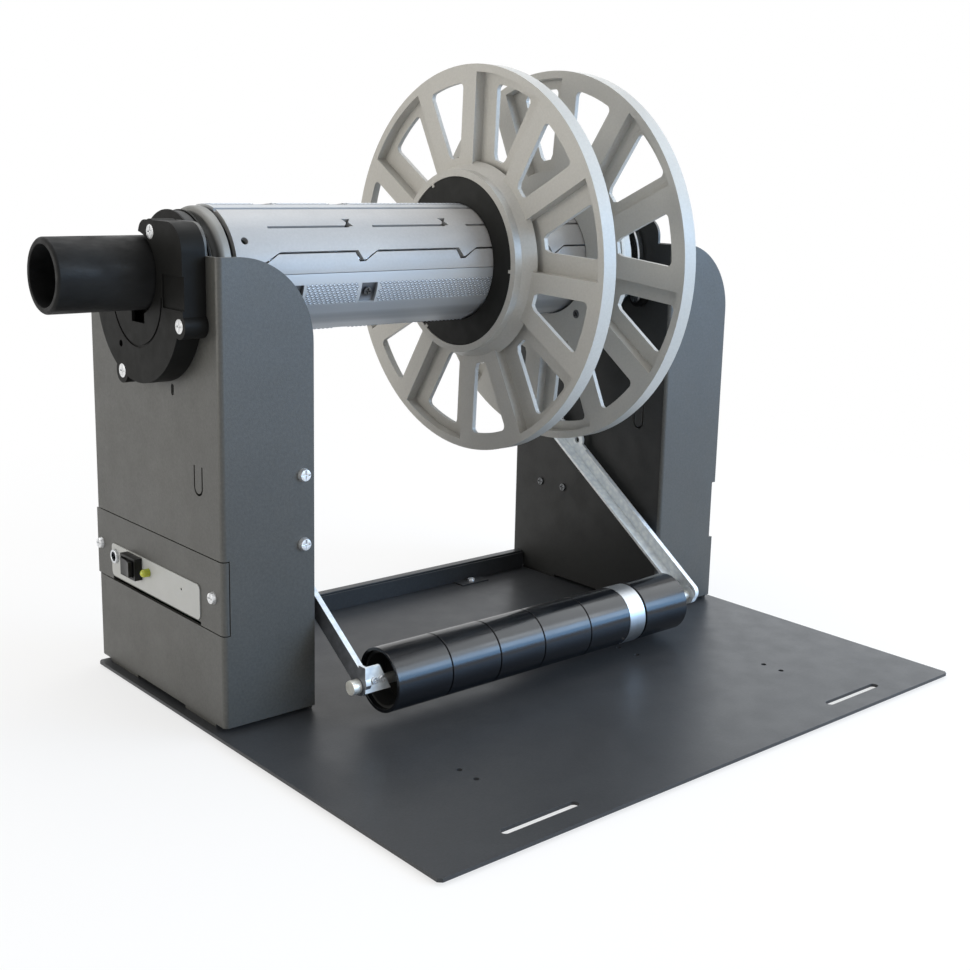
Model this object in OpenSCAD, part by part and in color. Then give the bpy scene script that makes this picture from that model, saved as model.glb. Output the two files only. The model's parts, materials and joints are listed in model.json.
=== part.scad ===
// Label unwinder: base plate, two sheet metal towers, an expanding mandrel with
// two sliding roll flanges, and a swinging guide roller.
// Millimetres. X runs along the mandrel, Y from front to back, Z up.
// The origin is at the centre of the foot pads' underside.
// Places along X, Y and Z are measured from the plate's left edge, front edge and underside.

/* [Base plate] */
// Plate width along X
plate_w = 425; // [422:1:440]
// Plate depth along Y
plate_d = 350; // [350:1:380]
// Plate sheet thickness
plate_t = 2; // [1.5:0.1:2.4]
// Corner chamfer of the plate
plate_chamfer = 2; // [1:0.5:4]
// Thickness of the foot pads under the plate
foot_t = 1.5; // [1:0.5:4]
// Width of a foot pad
foot_w = 14; // [8:1:30]
// Setback of the foot pads from the plate edge
foot_inset = 4; // [2:1:12]
// Length of an adjusting slot
slot_l = 52; // [40:1:60]
// Width of an adjusting slot
slot_w = 5.4; // [4:0.2:7]
// Distance of the slots from the front edge
slot_y = 16.5; // [12:0.5:24]
// Middle of the left slot
slot_left_x = 77.5; // [70:0.5:85]
// Middle of the right slot
slot_right_x = 342.4; // [335:0.5:350]
// Radius of the small plate holes
plate_hole_r = 1.75; // [1.2:0.05:2.5]
// Left hole pair along X
pair_left_x = 80; // [70:0.5:90]
// Right hole pair along X
pair_right_x = 339.4; // [330:0.5:350]
// Front hole of both front pairs
pair_front_y = 69.1; // [60:0.1:75]
// Pitch of the front pairs
pair_front_pitch = 14; // [10:0.5:18]
// Rear hole pair along X
pair_rear_x = 285.5; // [275:0.5:295]
// Front hole of the rear pair
pair_rear_y = 146.3; // [140:0.1:150]
// Pitch of the rear pair
pair_rear_pitch = 17.1; // [12:0.1:20]

/* [Rear rail] */
// Depth of the rail
rail_d = 6.5; // [5:0.5:10]
// Height of the rail's top
rail_top = 15.7; // [12:0.1:22]
// Sheet thickness of the rail
rail_t = 1.5; // [1:0.1:2]
// End gap between the rail and each tower
rail_gap = 0.5; // [0.3:0.1:2]
// Air between the rail and the thin sheet
liner_gap = 0.8; // [0.4:0.1:1.5]
// Thickness of the thin sheet
liner_t = 1; // [0.8:0.1:1.5]
// How far the thin sheet stays below the rail's top
liner_drop = 1.2; // [0.5:0.1:3]
// Middle of the folded tab along X
tab_x = 300.5; // [280:0.5:320]
// Width of the folded tab
tab_w = 26; // [18:1:34]
// Depth of the folded tab
tab_d = 11; // [9:0.5:16]

/* [Towers] */
// Left face of the left tower
tower_x = 5; // [3:0.5:8]
// Spacing between the two towers' left faces
tower_pitch = 355; // [355:0.5:357]
// Width of a tower
tower_w = 60; // [58:1:60]
// Front face of the towers
tower_y = 199; // [195:1:202]
// Depth of a tower
tower_d = 156; // [150:1:160]
// Height of the towers' shoulders
tower_top = 268; // [262:1:272]
// Sheet thickness of the towers
tower_t = 2; // [1.5:0.1:2.4]
// Outer bend radius of the towers
bend_r = 3; // [2.6:0.2:4]
// Radius of the rounded outer shoulder
shoulder_r = 48; // [30:1:50]
// Air between the tower's lower edge and the plate
skirt_gap = 2.6; // [1:0.1:4]
// Front end of the bearing hump
hump_front = 213; // [208:0.5:216]
// Back end of the hump's flat top
hump_back = 256; // [254:0.5:258]
// Width of the ring of sheet round the bearing hole
hump_ring = 2.6; // [2.2:0.1:2.8]
// Height of the hump's top
hump_top = 285.5; // [284:0.5:288]
// Corner radius of the hump
hump_r = 13; // [6:0.5:13]
// Depth of the screwed foot inside a tower
foot_tab_w = 22; // [14:1:28]
// Length of one screwed foot
foot_tab_l = 36; // [24:1:44]
// Setback of the screwed feet from the tower's ends
foot_tab_in = 12; // [8:1:20]
// Front edge of the bent out spring tongue
tongue_y = 219; // [210:0.5:225]
// Width of the tongue between its slits
tongue_w = 7.4; // [5:0.2:10]
// Lower end of the tongue
tongue_z = 135; // [120:1:150]
// Length of the tongue's slits
tongue_l = 17; // [12:1:24]
// Width of the slits round the tongue
slit_w = 1.2; // [0.8:0.1:2]
// Place of the small oval hole along Y
oval_y = 251.3; // [245:0.5:256]
// Place of the small oval hole along Z
oval_z = 189.5; // [186:0.5:191]
// Half width of the small oval hole
oval_r = 1.6; // [1:0.1:2.5]
// Length between the ends' centres of the oval hole
oval_l = 3.4; // [2:0.1:5]
// Radius of the bearing hole in the left tower
bearing_hole_r = 24; // [23.6:0.1:24.4]

/* [Tower covers] */
// Sheet thickness of the covers
cover_t = 1.5; // [1:0.1:2]
// Air round the covers
cover_gap = 0.3; // [0.3:0.1:1]
// Height of the left tower's inner cover
inner_cover_top = 212; // [195:1:214]
// Lower edge of the blank panel on the right tower
blank_z = 50; // [44:1:58]
// Height of the blank panel on the right tower
blank_h = 42; // [36:1:46]
// Depth of the relief notch beside the blank panel
blank_notch = 4; // [2:0.5:6]

/* [Control panel] */
// Lower edge of the control panel
panel_z = 59.4; // [56:0.2:62]
// Height of the control panel
panel_h = 42.2; // [40:0.2:44]
// Air round the control panel
panel_gap = 0.6; // [0.4:0.1:1]
// How far the panel wraps onto the tower's front
panel_wrap = 4; // [3:0.5:6]
// Sheet thickness of the panel
panel_t = 1.5; // [1:0.1:2]
// Front end of the label field
label_y = 224.2; // [220:0.5:228]
// Label field's back end from the tower's back edge
label_setback = 20.5; // [17:0.5:25]
// Lower edge of the label field
label_z = 62.4; // [61.6:0.1:64]
// Height of the label field
label_h = 20.8; // [16:0.2:24]
// Thickness of the label plate
label_t = 0.6; // [0.4:0.1:1]
// Corner radius of the label plate
label_r = 3; // [1:0.5:5]
// Height of the slot under the label field
vent_h = 2; // [1:0.1:2.2]
// Radius of the panel screw heads
panel_head_r = 3.6; // [3:0.1:4.5]
// Height of the panel screw heads
panel_head_h = 2.2; // [1.6:0.1:3]
// Height of the panel screws
panel_screw_z = 79.6; // [76:0.2:84]
// Front panel screw along Y
panel_screw_front = 209.6; // [206:0.2:213]
// Back panel screw from the tower's back edge
screw_setback = 5.4; // [5:0.2:9]
// Middle of the switch from the tower's back edge
switch_setback = 51.5; // [47:0.5:57]
// Middle of the switch along Z
switch_z = 75.6; // [72:0.2:78]
// Width of the switch body
switch_w = 19; // [14:0.5:20]
// Height of the switch body
switch_h = 13.5; // [10:0.5:15]
// How far the switch body stands out
switch_out = 5.5; // [3:0.5:8]
// Depth of the switch body behind the panel
switch_in = 9; // [6:0.5:14]
// Wall left round the rocker
switch_wall = 1.5; // [1:0.1:2]
// How far the rocker stands out of its body at its middle
rocker_out = 4.4; // [3:0.1:5]
// Radius of the rocker's pin
rocker_pin_r = 1; // [0.8:0.1:1.4]
// Middle of the power socket from the tower's back edge
socket_setback = 26; // [24:0.5:31]
// Radius of the power socket's ring nut
socket_nut_r = 4.3; // [3.5:0.1:5]
// Bore of the power socket
socket_bore_r = 2.9; // [2:0.1:3]
// How far the ring nut stands out
socket_out = 2.4; // [1.5:0.1:4]
// Middle of the signal lamp from the tower's back edge
lamp_setback = 69.4; // [65:0.2:74]
// Radius of the signal lamp
lamp_r = 2.5; // [1.5:0.1:3]
// How far the signal lamp stands out
lamp_out = 6; // [2:0.5:8]
// Reset hole along Y
reset_y = 245.5; // [240:0.5:250]
// Radius of the reset hole
reset_r = 0.8; // [0.5:0.1:1.2]

/* [Mandrel] */
// Place of the spindle axis along Y
axis_y = 262.5; // [261:0.5:264]
// Height of the spindle axis
axis_z = 256; // [255:0.5:256.5]
// Outer radius of the mandrel
mandrel_r = 37.5; // [37:0.1:37.8]
// Wall thickness of the mandrel's shells
shell_t = 3.5; // [2.5:0.1:4]
// Left end of the shells
shell_left = 32.8; // [32.4:0.1:33.4]
// Right end of the shells
shell_right = 346.6; // [344:0.2:347]
// Angle of the toothed seams
seam_a = 18.5; // [17:0.5:20]
// Angle of the jaw's upper edge
jaw_top_a = -1.4; // [-3:0.2:0]
// Angle of the jaw's lower edge
jaw_low_a = -108; // [-110:0.5:-106]
// Air in the straight part of the toothed seam
seam_gap = 1.2; // [1.1:0.05:1.5]
// Air between a tooth's ramp and its bed
ramp_gap = 0.4; // [0.3:0.05:0.6]
// Air beside a tooth's steep side
steep_gap = 2.8; // [2.4:0.1:3.4]
// Air between neighbouring panels as an angle
joint_a = 0.4; // [0.2:0.05:0.6]
// Air beside the support rollers
side_air = 0.3; // [0.2:0.05:0.5]
// First tooth tip measured from the plate's left edge
tooth_x = 50.5; // [48:0.5:52]
// Distance from the first tooth to the second
tooth_first_pitch = 68; // [64:0.5:72]
// Distance between the other teeth
tooth_pitch = 76.7; // [74:0.1:78]
// Depth of a tooth
tooth_h = 5.5; // [4.5:0.1:6]
// Width of a tooth's tip
tooth_tip = 1; // [0.6:0.1:1.4]
// Run of a tooth's steep side
tooth_steep = 3.6; // [2:0.1:5]
// Run of a tooth's ramp
tooth_ramp = 10.8; // [9:0.1:13]
// Angle of the slot row in the wide panels
slot_row_a = 42.5; // [38:0.5:48]
// Left end of the first slot
row_x = 57.8; // [55:0.2:60]
// Length of a slot in the row
row_l = 56; // [48:0.5:60]
// Distance between the slots' left ends
row_pitch = 72.7; // [70:0.1:74]
// Width of a slot in the row
row_w = 1.6; // [1:0.1:2]
// Size of the notch at a slot's right end
row_notch = 6; // [4:0.1:6.4]
// Width of the groove along a wide panel's free edge
edge_groove = 2.4; // [1:0.1:3]
// Width of the knurled strip as an angle
knurl_a = 20.5; // [18:0.5:22]
// Angle from a jaw edge to its knurled strip
knurl_edge_a = 9.1; // [8:0.1:11]
// Depth of the jaw's flats below the mandrel's outside
flat_depth = 0.9; // [0.4:0.1:1.4]
// Depth of the jaw's middle line below the mandrel's outside
ridge_depth = 1.6; // [1:0.1:2]
// First screw pocket along X
pocket_x = 70.6; // [68:0.2:73]
// Distance between the screw pockets
pocket_pitch = 52.2; // [48:0.2:54]
// Length of a screw pocket
pocket_l = 11.5; // [9:0.5:13]
// Width of a screw pocket
pocket_w = 12.5; // [10:0.5:13]
// Depth of a screw pocket
pocket_depth = 2.6; // [1.5:0.1:2.7]
// Head radius of the jaw screws
jaw_head_r = 2.7; // [2:0.1:3.2]
// Head height of the jaw screws
jaw_head_h = 1.6; // [1:0.1:1.8]
// Radius of the small hole near the wide panel's left end
pin_hole_r = 2.2; // [1:0.1:2.4]
// Angle of the small hole
pin_hole_a = 29.3; // [26:0.5:34]
// Distance of the small hole from the panel's end
pin_hole_in = 7.2; // [6:0.2:9]
// Depth of the shells' collapsing stroke across the seam
collapse = 0.9; // [0.5:0.1:0.9]

/* [Spindle] */
// Outer radius of the core tube
core_r = 24; // [23:0.1:24]
// Wall thickness of the core tube
core_t = 3; // [2:0.1:4]
// Left end of the core tube
core_left = 9.5; // [9.2:0.1:9.8]
// Running clearance of shafts in their bores
run_gap = 0.08; // [0.03:0.01:0.1]
// Slip clearance between pieces that turn together
slip = 0.1; // [0.05:0.01:0.2]
// Journal radius in the left bearing
journal_r = 22; // [21:0.1:22.4]
// Wall thickness of the journal
journal_t = 3.4; // [3:0.1:5]
// Left end of the journal
journal_left = 1.2; // [0.8:0.1:1.6]
// Width of the bearing ring
bearing_w = 4; // [3:0.1:4.2]
// Outer radius of the belt pulley's rims
pulley_r = 34.5; // [33:0.1:35]
// Left face of the belt pulley
pulley_left = 10.4; // [10.2:0.1:11]
// Width of the belt pulley
pulley_w = 8.6; // [7:0.1:9]
// Thickness of the pulley's rims
pulley_rim = 1.2; // [1:0.1:1.6]
// Depth of the belt's groove
groove_d = 2.6; // [2:0.1:3]
// Radius of the steel disc
steel_r = 29; // [27:0.5:32]
// Width of the steel disc
steel_w = 4; // [3:0.1:4.4]
// Width of the light end collar
collar_w = 7; // [6:0.1:7.2]
// Outer radius of the light end collar
collar_r = 36.5; // [35:0.1:37]
// Rounding of the light end collar
collar_round = 3.4; // [2:0.1:3.6]
// Width of the dark plug at the right end
plug_w = 6.6; // [5:0.1:6.8]
// Radius of the dark plug at the right end
plug_r = 31; // [28:0.5:33]
// Left face of the metal end ring
ring_left = 353.8; // [353:0.1:354.2]
// Width of the metal end ring
ring_w = 5.3; // [4:0.1:5.6]
// Edge chamfer of the metal end ring
ring_chamfer = 0.8; // [0.4:0.1:1.4]
// Width of a spider inside the shells
spider_w = 6; // [4:0.5:9]
// Distance of the outer spiders from the shells' ends
spider_in = 18; // [14:1:24]
// Angle that the spiders stay back from the rear seam
spider_back_a = 3; // [2:0.5:5]
// Angle that the spiders stay back from the front seam's teeth
spider_front_a = 12; // [11.5:0.5:15]
// Radius of the spiders under the sliding half
spider_low_r = 31.5; // [30:0.1:32]

/* [Handle] */
// Outer radius of the handle tube
handle_r = 20.5; // [19.5:0.1:21]
// Bore radius of the handle tube
handle_bore_r = 16.75; // [15:0.05:17]
// Left end of the handle tube
handle_left = -63; // [-75:1:-50]
// Edge chamfer of the handle tube
handle_chamfer = 1.2; // [0.6:0.1:1.6]

/* [Side cover] */
// Front face of the side cover
lid_x = -9; // [-12:0.5:-8.5]
// Wall thickness of the side cover
lid_t = 2; // [1.6:0.1:2.2]
// Centre of the cover's round body along Y
lid_y = 264; // [262:0.5:266]
// Centre of the cover's round body along Z
lid_z = 244.5; // [243:0.5:246]
// Radius of the cover's round body
lid_r = 50; // [49:0.5:52]
// Front end of the cover's upper block
block_front = 211; // [210:0.5:212]
// Back end of the cover's upper block
block_back = 259.6; // [257:0.2:260]
// Front corner radius of the cover's upper block
block_r = 16; // [12:0.5:17]
// Back corner radius of the cover's upper block
lug_r = 8; // [6:0.5:9]
// Radius of a screw lobe
lobe_r = 7; // [6:0.1:8]
// Upper screw along Y
lobe_a_y = 245.9; // [243:0.1:248]
// Upper screw along Z
lobe_a_z = 279.2; // [277:0.1:280]
// Front screw along Y
lobe_b_y = 215.7; // [213:0.1:218]
// Front screw along Z
lobe_b_z = 231; // [228:0.1:233]
// Lower back screw along Y
lobe_c_y = 284.1; // [282:0.1:287]
// Lower back screw along Z
lobe_c_z = 198.8; // [197:0.1:200]
// Head radius of the cover screws
cover_head_r = 4; // [3:0.1:4.6]
// Head height of the cover screws
cover_head_h = 1.3; // [1:0.1:1.5]
// Radius of the hole round the handle tube
collar_hole_r = 23; // [22:0.1:24]
// Width of the keyed notch under the handle tube
key_w = 15; // [12:0.5:18]
// Lower end of the keyed notch below the axis
key_d = 27.4; // [25:0.1:28]
// Radius of the groove ring on the cover
groove_r = 29.3; // [28.6:0.1:30]
// Width of the groove ring on the cover
groove_w = 1.4; // [1:0.1:2]
// Depth of the groove ring on the cover
groove_cut = 0.8; // [0.4:0.1:1]
// Front end of the lock recess
recess_front = 209.6; // [209:0.1:209.8]
// Back end of the lock recess
recess_back = 233; // [231:0.5:235]
// Lower end of the lock recess
recess_z = 239.5; // [239:0.1:241]
// Height of the lock recess
recess_h = 18; // [14:0.5:20]
// Depth of the lock recess
recess_d = 1; // [0.6:0.1:1.2]
// Small hole in the cover along Y
cover_hole_y = 284.5; // [282:0.1:286]
// Small hole in the cover along Z
cover_hole_z = 214.5; // [212:0.1:216]
// Radius of the small hole in the cover
cover_hole_r = 2; // [1:0.1:2.4]

/* [Drive] */
// Height of the motor's axis
motor_z = 166; // [160:1:172]
// Radius of the gear motor
motor_r = 17; // [14:0.5:19]
// Length of the gear motor
motor_l = 36; // [28:0.5:38]
// Left face of the motor bracket
bracket_x = 20.6; // [20.2:0.1:21.4]
// Thickness of the motor bracket
bracket_t = 2; // [1.5:0.1:2.4]
// Half width of the motor bracket
bracket_half = 27; // [26:0.5:28]
// Radius of the bracket's spacers
spacer_r = 3; // [2:0.1:4]
// Setback of the spacers from the bracket's edges
spacer_in = 4.2; // [4:0.1:6]
// Radius of the motor shaft
motor_shaft_r = 3; // [2:0.1:4]
// Turns of the motor pulley for one turn of the belt pulley
belt_ratio = 3; // [2.8:0.05:3.2]
// Thickness of the belt
belt_t = 1.5; // [1:0.1:1.8]
// Air between the belt and the pulleys
belt_air = 0.35; // [0.3:0.01:0.5]
// Board length along Y
board_l = 120; // [90:1:124]
// Board height
board_h = 40; // [30:1:44]
// Board thickness
board_t = 1.6; // [1.2:0.1:2]
// Distance of the board from the tower's web
board_off = 16; // [15:0.5:20]
// Lower edge of the board
board_z = 10; // [8:0.5:14]

/* [Support rollers] */
// Radius of a support roller
support_r = 7.1; // [6.8:0.05:7.15]
// Air between a support roller and the end ring
support_gap = 0.4; // [0.3:0.05:0.6]
// Angle of the support rollers below the horizontal
support_a = 35.3; // [30:0.5:40]
// Width of a support roller
support_w = 5; // [4:0.1:5.2]
// Left face of the support rollers
support_left = 354; // [353.6:0.1:354.4]
// Pin radius of a support roller
support_pin_r = 2.5; // [2:0.1:3]
// Head radius of a support roller's screw
support_head_r = 4.2; // [3.5:0.1:5]
// Head height of a support roller's screw
support_head_h = 2; // [1.5:0.1:2.4]

/* [Roll flanges] */
// Outer radius of a flange
flange_r = 126.3; // [118:0.5:127]
// Thickness of a flange's rim
flange_w = 10.4; // [9:0.1:11]
// Left face of the near flange's rim
near_x = 228.8; // [200:0.2:232]
// Left face of the far flange's rim
far_x = 301.2; // [290:0.2:304]
// How far a flange's hub stands out
hub_out = 11; // [8:0.5:13]
// Radius of a hub at its end
hub_r = 59.6; // [58:0.2:61]
// Radius of a hub at the flange
hub_root_r = 65; // [63:0.2:66]
// Sheet thickness of a flange's sectors
flange_t = 3; // [2:0.1:4]
// Radial width of the rim
rim_w = 5; // [4:0.1:7]
// Outer radius of the windows
window_r = 115; // [110:0.1:116]
// Rounding of the windows' outer corners
window_round = 3.4; // [2:0.1:5]
// Inner radius of the windows
window_in_r = 68; // [67:0.1:72]
// Width of a spoke
spoke_w = 25.3; // [20:0.1:28]
// Half of the step wall's thickness at a sector's edge
step_t = 2.4; // [2:0.1:3]
// Middle angle of the near flange's flush sectors
near_a = 42.7; // [40:0.1:45]
// Middle angle of the far flange's flush sectors
far_a = 9.7; // [8:0.1:14]
// Chamfer of the windows' inner corners
window_chamfer = 3; // [1:0.1:4]
// Outer radius of the dark grip ring
grip_r = 55; // [53:0.1:56]
// Bore radius of the grip ring
grip_bore_r = 38; // [37.9:0.05:38.2]
// Thickness of the grip ring
grip_w = 18; // [12:0.5:19]
// How far the grip ring sits below the hub's end
grip_sink = 0.4; // [0.2:0.1:1]
// Size of the small hooks that hold the grip ring
hook_w = 2; // [1.4:0.1:3]
// Angle of the first hook
hook_a = -3; // [-10:1:5]
// Angle of the first grip screw
grip_screw_a = -50; // [-55:1:-45]
// Radius of the circle of grip screws
grip_screw_pcd_r = 47; // [45:0.5:49]
// Head radius of the grip screws
grip_head_r = 3; // [2.4:0.1:3.6]
// Head height of the grip screws
grip_head_h = 1.6; // [1.2:0.1:2]

/* [Guide roller] */
// Place of the guide roller's axis along Y
guide_y = 162; // [158:0.5:166]
// Height of the guide roller's axis
guide_z = 27; // [26:0.5:30]
// Radius of the guide roller
guide_r = 19.3; // [18.6:0.1:19.6]
// Left end of the guide roller
guide_left = 84.5; // [82:0.5:86]
// Gap between the guide roller's right end and the right arm
guide_side_gap = 23.5; // [20:0.5:30]
// Ends of the sleeves left of the band as shares of the roller's length
sleeve_end_shares = [0.161, 0.314, 0.462, 0.626, 0.773];
// Width of the metal band
band_w = 14.5; // [12:0.1:16]
// Air between two sleeves
sleeve_gap = 0.6; // [0.4:0.1:1]
// Air between the band and the last sleeve
band_gap = 1.5; // [0.8:0.1:2]
// Thickness of the sleeves
sleeve_t = 2; // [1.5:0.1:2.4]
// Thickness of the tube under the sleeves
guide_tube_t = 1.5; // [1:0.1:2]
// Setback of the tube's ends inside the sleeves
guide_tube_in = 3; // [2:0.5:6]
// Setback of the bearing plugs
plug_in = 16; // [12:0.5:20]
// Width of a bearing plug
bearing_plug_w = 6; // [4:0.5:9]
// Radius of the guide roller's axle
axle_r = 3.2; // [2.5:0.1:3.4]
// Radius of the axle's end caps
axle_cap_r = 4.3; // [3.6:0.1:4.8]
// How far the axle's cap stands out of the left arm
axle_out = 6; // [4:0.5:8]
// Radius of the boss that holds the axle
boss_r = 6.2; // [5:0.2:7]

/* [Arms] */
// Left face of the left arm
arm_x = 70; // [69:0.5:71]
// Sheet thickness of an arm
arm_t = 2; // [1.5:0.1:2.2]
// Slope of the arms
arm_a = 35; // [33:0.5:37]
// Width of an arm
arm_w = 11.4; // [10:0.1:13]
// Offset of an arm's middle line above the axle
arm_rise = 3.2; // [2:0.1:4]
// Length from the axle to the arm's pivot
arm_l = 175; // [165:1:180]
// Depth of an arm's turned lower edge
arm_lip = 10; // [7:0.5:10]
// Height of the rim along an arm's upper edge
arm_rim = 1.6; // [1:0.1:2]
// Start of the turned lower edge from the axle
lip_start = 14; // [10:0.5:20]
// End of the turned lower edge before the pivot
lip_end = 12; // [10:0.5:20]
// Distance of the small ear from the axle
ear_l = 148; // [140:1:154]
// Radius of the small ear
ear_r = 6; // [5:0.5:7]
// Offset of the ear's hole above the arm's middle line
ear_rise = 4.4; // [3:0.1:6]
// Radius of the ear's hole
ear_hole_r = 2.3; // [1.5:0.1:3]
// Radius of an arm's end at the pivot
pivot_end_r = 8; // [7:0.5:9]
// Radius of the pivot pins
pivot_r = 4; // [3:0.1:4.6]
// Head radius of the pivot pins
pivot_head_r = 6; // [5:0.1:7]
// Head height of the pivot pins
pivot_head_h = 2; // [1.5:0.1:2.5]
// Air beside an arm at its pivot
pivot_air = 0.5; // [0.3:0.1:0.8]
// Front face of the screwed tab
arm_tab_y = 155.4; // [155:0.1:155.6]
// Lower edge of the screwed tab
arm_tab_z = 24; // [22:0.5:26]
// Height of the screwed tab
arm_tab_h = 15.4; // [12:0.1:17]
// Length of the tab's upper edge
arm_tab_top = 10; // [8:0.1:12]
// Length of the tab's lower edge
arm_tab_low = 18; // [14:0.1:20]
// Head radius of the tab's screws
tab_head_r = 2.3; // [1.8:0.1:2.8]
// Head height of the tab's screws
tab_head_h = 1.4; // [1:0.1:1.8]
// First tab screw from the arm
tab_screw_x = 6.1; // [6:0.1:6.4]
// Distance between the tab's screws
tab_screw_pitch = 5.2; // [5:0.1:5.4]
// Height of the tab's screws above the tab's lower edge
tab_screw_up = 7; // [5:0.1:9]

/* [Screws] */
// Head radius of the tower screws
screw_head_r = 3.9; // [3:0.1:4.5]
// Head height of the tower screws
screw_head_h = 2.6; // [2:0.1:3.2]
// Shank radius of the tower screws
screw_shank_r = 2; // [1.5:0.1:2.2]
// Length of the tower screws' shanks
screw_shank_l = 6; // [4:0.5:8]
// Width of the cross recess
cross_w = 0.9; // [0.6:0.1:1.2]
// Depth of the cross recess
cross_d = 1.1; // [0.6:0.1:1.4]
// Front screws along X
front_screw_x = 57.9; // [54:0.1:60]
// Lower front screw
front_screw_low = 104.4; // [100:0.2:108]
// Upper front screw
front_screw_high = 144.9; // [140:0.2:150]
// Front one of the two screws on the right tower's web
web_screw_front = 299; // [296:0.2:302]
// Pitch of the two screws on the right tower's web
web_screw_pitch = 25; // [20:0.2:28]
// Height of the two screws on the right tower's web
web_screw_z = 76.7; // [74:0.2:80]
// Head radius of the rail screw
rail_head_r = 3; // [2.4:0.1:3.6]
// Head height of the rail screw
rail_head_h = 1.6; // [1.2:0.1:2.2]

/* [Hidden] */
// Overrun of cuts
eps = 1;
// Share that leaves a cross recess inside its head
cross_share = 1.3;
fine = 128;
mid = 72;
small = 36;
back_y = tower_y + tower_d;
label_back = back_y - label_setback;
panel_screw_back = back_y - screw_setback;
switch_y = back_y - switch_setback;
socket_y = back_y - socket_setback;
lamp_y = back_y - lamp_setback;
tower_right = tower_x + tower_pitch;
web_in = tower_x + tower_t;
web_out_right = tower_right + tower_t;
rail_left_end = tower_x + tower_w + rail_gap;
rail_right_end = tower_right - rail_gap;
rail_y = plate_d - rail_d;
liner_y = rail_y - liner_gap - liner_t;
shell_in_r = mandrel_r - shell_t;
half_low_a = seam_a - 180;
slide_len = collapse / sin(ramp_a());
back_ramp_gap = ramp_gap + slide_len * sin(2 * ramp_a());
slide_in_r = shell_in_r + collapse / 4;
core_right = ring_left - slip;
steel_left = pulley_left + pulley_w + slip;
collar_left = steel_left + steel_w + slip;
plug_left = ring_left - slip - plug_w;
support_d = mandrel_r + support_r + support_gap;
support_drop = support_d * sin(support_a);
support_off = support_d * cos(support_a);
belt_mid = pulley_left + pulley_w / 2;
belt_w = pulley_w - 2 * pulley_rim - 2 * belt_air;
big_groove_r = pulley_r - groove_d;
small_groove_r = big_groove_r / belt_ratio;
small_pulley_r = small_groove_r + groove_d;
pivot_y = guide_y + arm_l * cos(arm_a) - arm_rise * sin(arm_a);
pivot_z = guide_z + arm_l * sin(arm_a) + arm_rise * cos(arm_a);
arm_right = tower_right + tower_x + tower_w - arm_x;
guide_len = arm_right - arm_t - guide_side_gap - guide_left;
sleeve_ends = guide_len * sleeve_end_shares;
band_left = sleeve_ends[4];
last_left = band_left + band_w + band_gap;
guide_in_r = guide_r - sleeve_t;
guide_tube_in_r = guide_in_r - slip - guide_tube_t;
sector_a = 30;

function ramp_a() = atan(tooth_h / tooth_ramp);

module at_plate() {
  translate([-plate_w / 2, -plate_d / 2, foot_t]) children();
}

module block(a, b) {
  translate(a) cube(b - a);
}

module rod_x(x0, x1, y, z, r) {
  translate([x0, y, z]) rotate([0, 90, 0]) cylinder(h = x1 - x0, r = r);
}

module rod_y(y0, y1, x, z, r) {
  translate([x, y1, z]) rotate([90, 0, 0]) cylinder(h = y1 - y0, r = r);
}

module rod_z(z0, z1, x, y, r) {
  translate([x, y, z0]) cylinder(h = z1 - z0, r = r);
}

// 2D shape in the plane across X.
module on_axis(x0, x1, y = axis_y, z = axis_z) {
  translate([x1, y, z]) rotate([90, 0, -90]) linear_extrude(x1 - x0) children();
}

// 2D shape in plate places: first coordinate Y, second Z.
module across_x(x0, x1) {
  translate([x0, 0, 0]) rotate([90, 0, 90]) linear_extrude(x1 - x0) children();
}

module wedge(a0, a1, r) {
  polygon([[0, 0], r * [cos(a0), sin(a0)], 2 * r * [cos((a0 + a1) / 2), sin((a0 + a1) / 2)], r * [cos(a1), sin(a1)]]);
}

module ring_2d(r1, r0) {
  difference() {
    circle(r = r1);
    circle(r = r0);
  }
}

module round_rect(a, b, r) {
  union() {
    translate([a[0] + r, a[1]]) square([b[0] - a[0] - 2 * r, b[1] - a[1]]);
    translate([a[0], a[1] + r]) square([b[0] - a[0], b[1] - a[1] - 2 * r]);
    for (u = [a[0] + r, b[0] - r], v = [a[1] + r, b[1] - r]) translate([u, v]) circle(r = r, $fn = small);
  }
}

module cross_cut(h) {
  for (q = [0, 90]) rotate([0, 0, q])
    translate([-h / cross_share / 2, -cross_w / 2, -cross_d]) cube([h / cross_share, cross_w, cross_d + eps]);
}

// Screw standing on the XY plane with its head up and its shank below.
module pan_screw(r, h, shank_r, shank_l) {
  difference() {
    union() {
      cylinder(h = h, r1 = r, r2 = r - h / 4, $fn = small);
      translate([0, 0, -shank_l]) cylinder(h = shank_l + slip, r = shank_r, $fn = small);
    }
    translate([0, 0, h]) cross_cut(r * 2);
  }
}

// Base

module base_plate() color("#33373c") at_plate() difference() {
  linear_extrude(plate_t) difference() {
    polygon([[plate_chamfer, 0], [plate_w - plate_chamfer, 0], [plate_w, plate_chamfer],
      [plate_w, plate_d - plate_chamfer], [plate_w - plate_chamfer, plate_d], [plate_chamfer, plate_d],
      [0, plate_d - plate_chamfer], [0, plate_chamfer]]);
    for (x = [slot_left_x, slot_right_x])
      round_rect([x - slot_l / 2, slot_y - slot_w / 2], [x + slot_l / 2, slot_y + slot_w / 2], slot_w / 2 - slip);
  }
  for (x = [pair_left_x, pair_right_x], y = [pair_front_y, pair_front_y + pair_front_pitch])
    rod_z(-eps, plate_t + eps, x, y, plate_hole_r, $fn = small);
  for (y = [pair_rear_y, pair_rear_y + pair_rear_pitch])
    rod_z(-eps, plate_t + eps, pair_rear_x, y, plate_hole_r, $fn = small);
}

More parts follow.
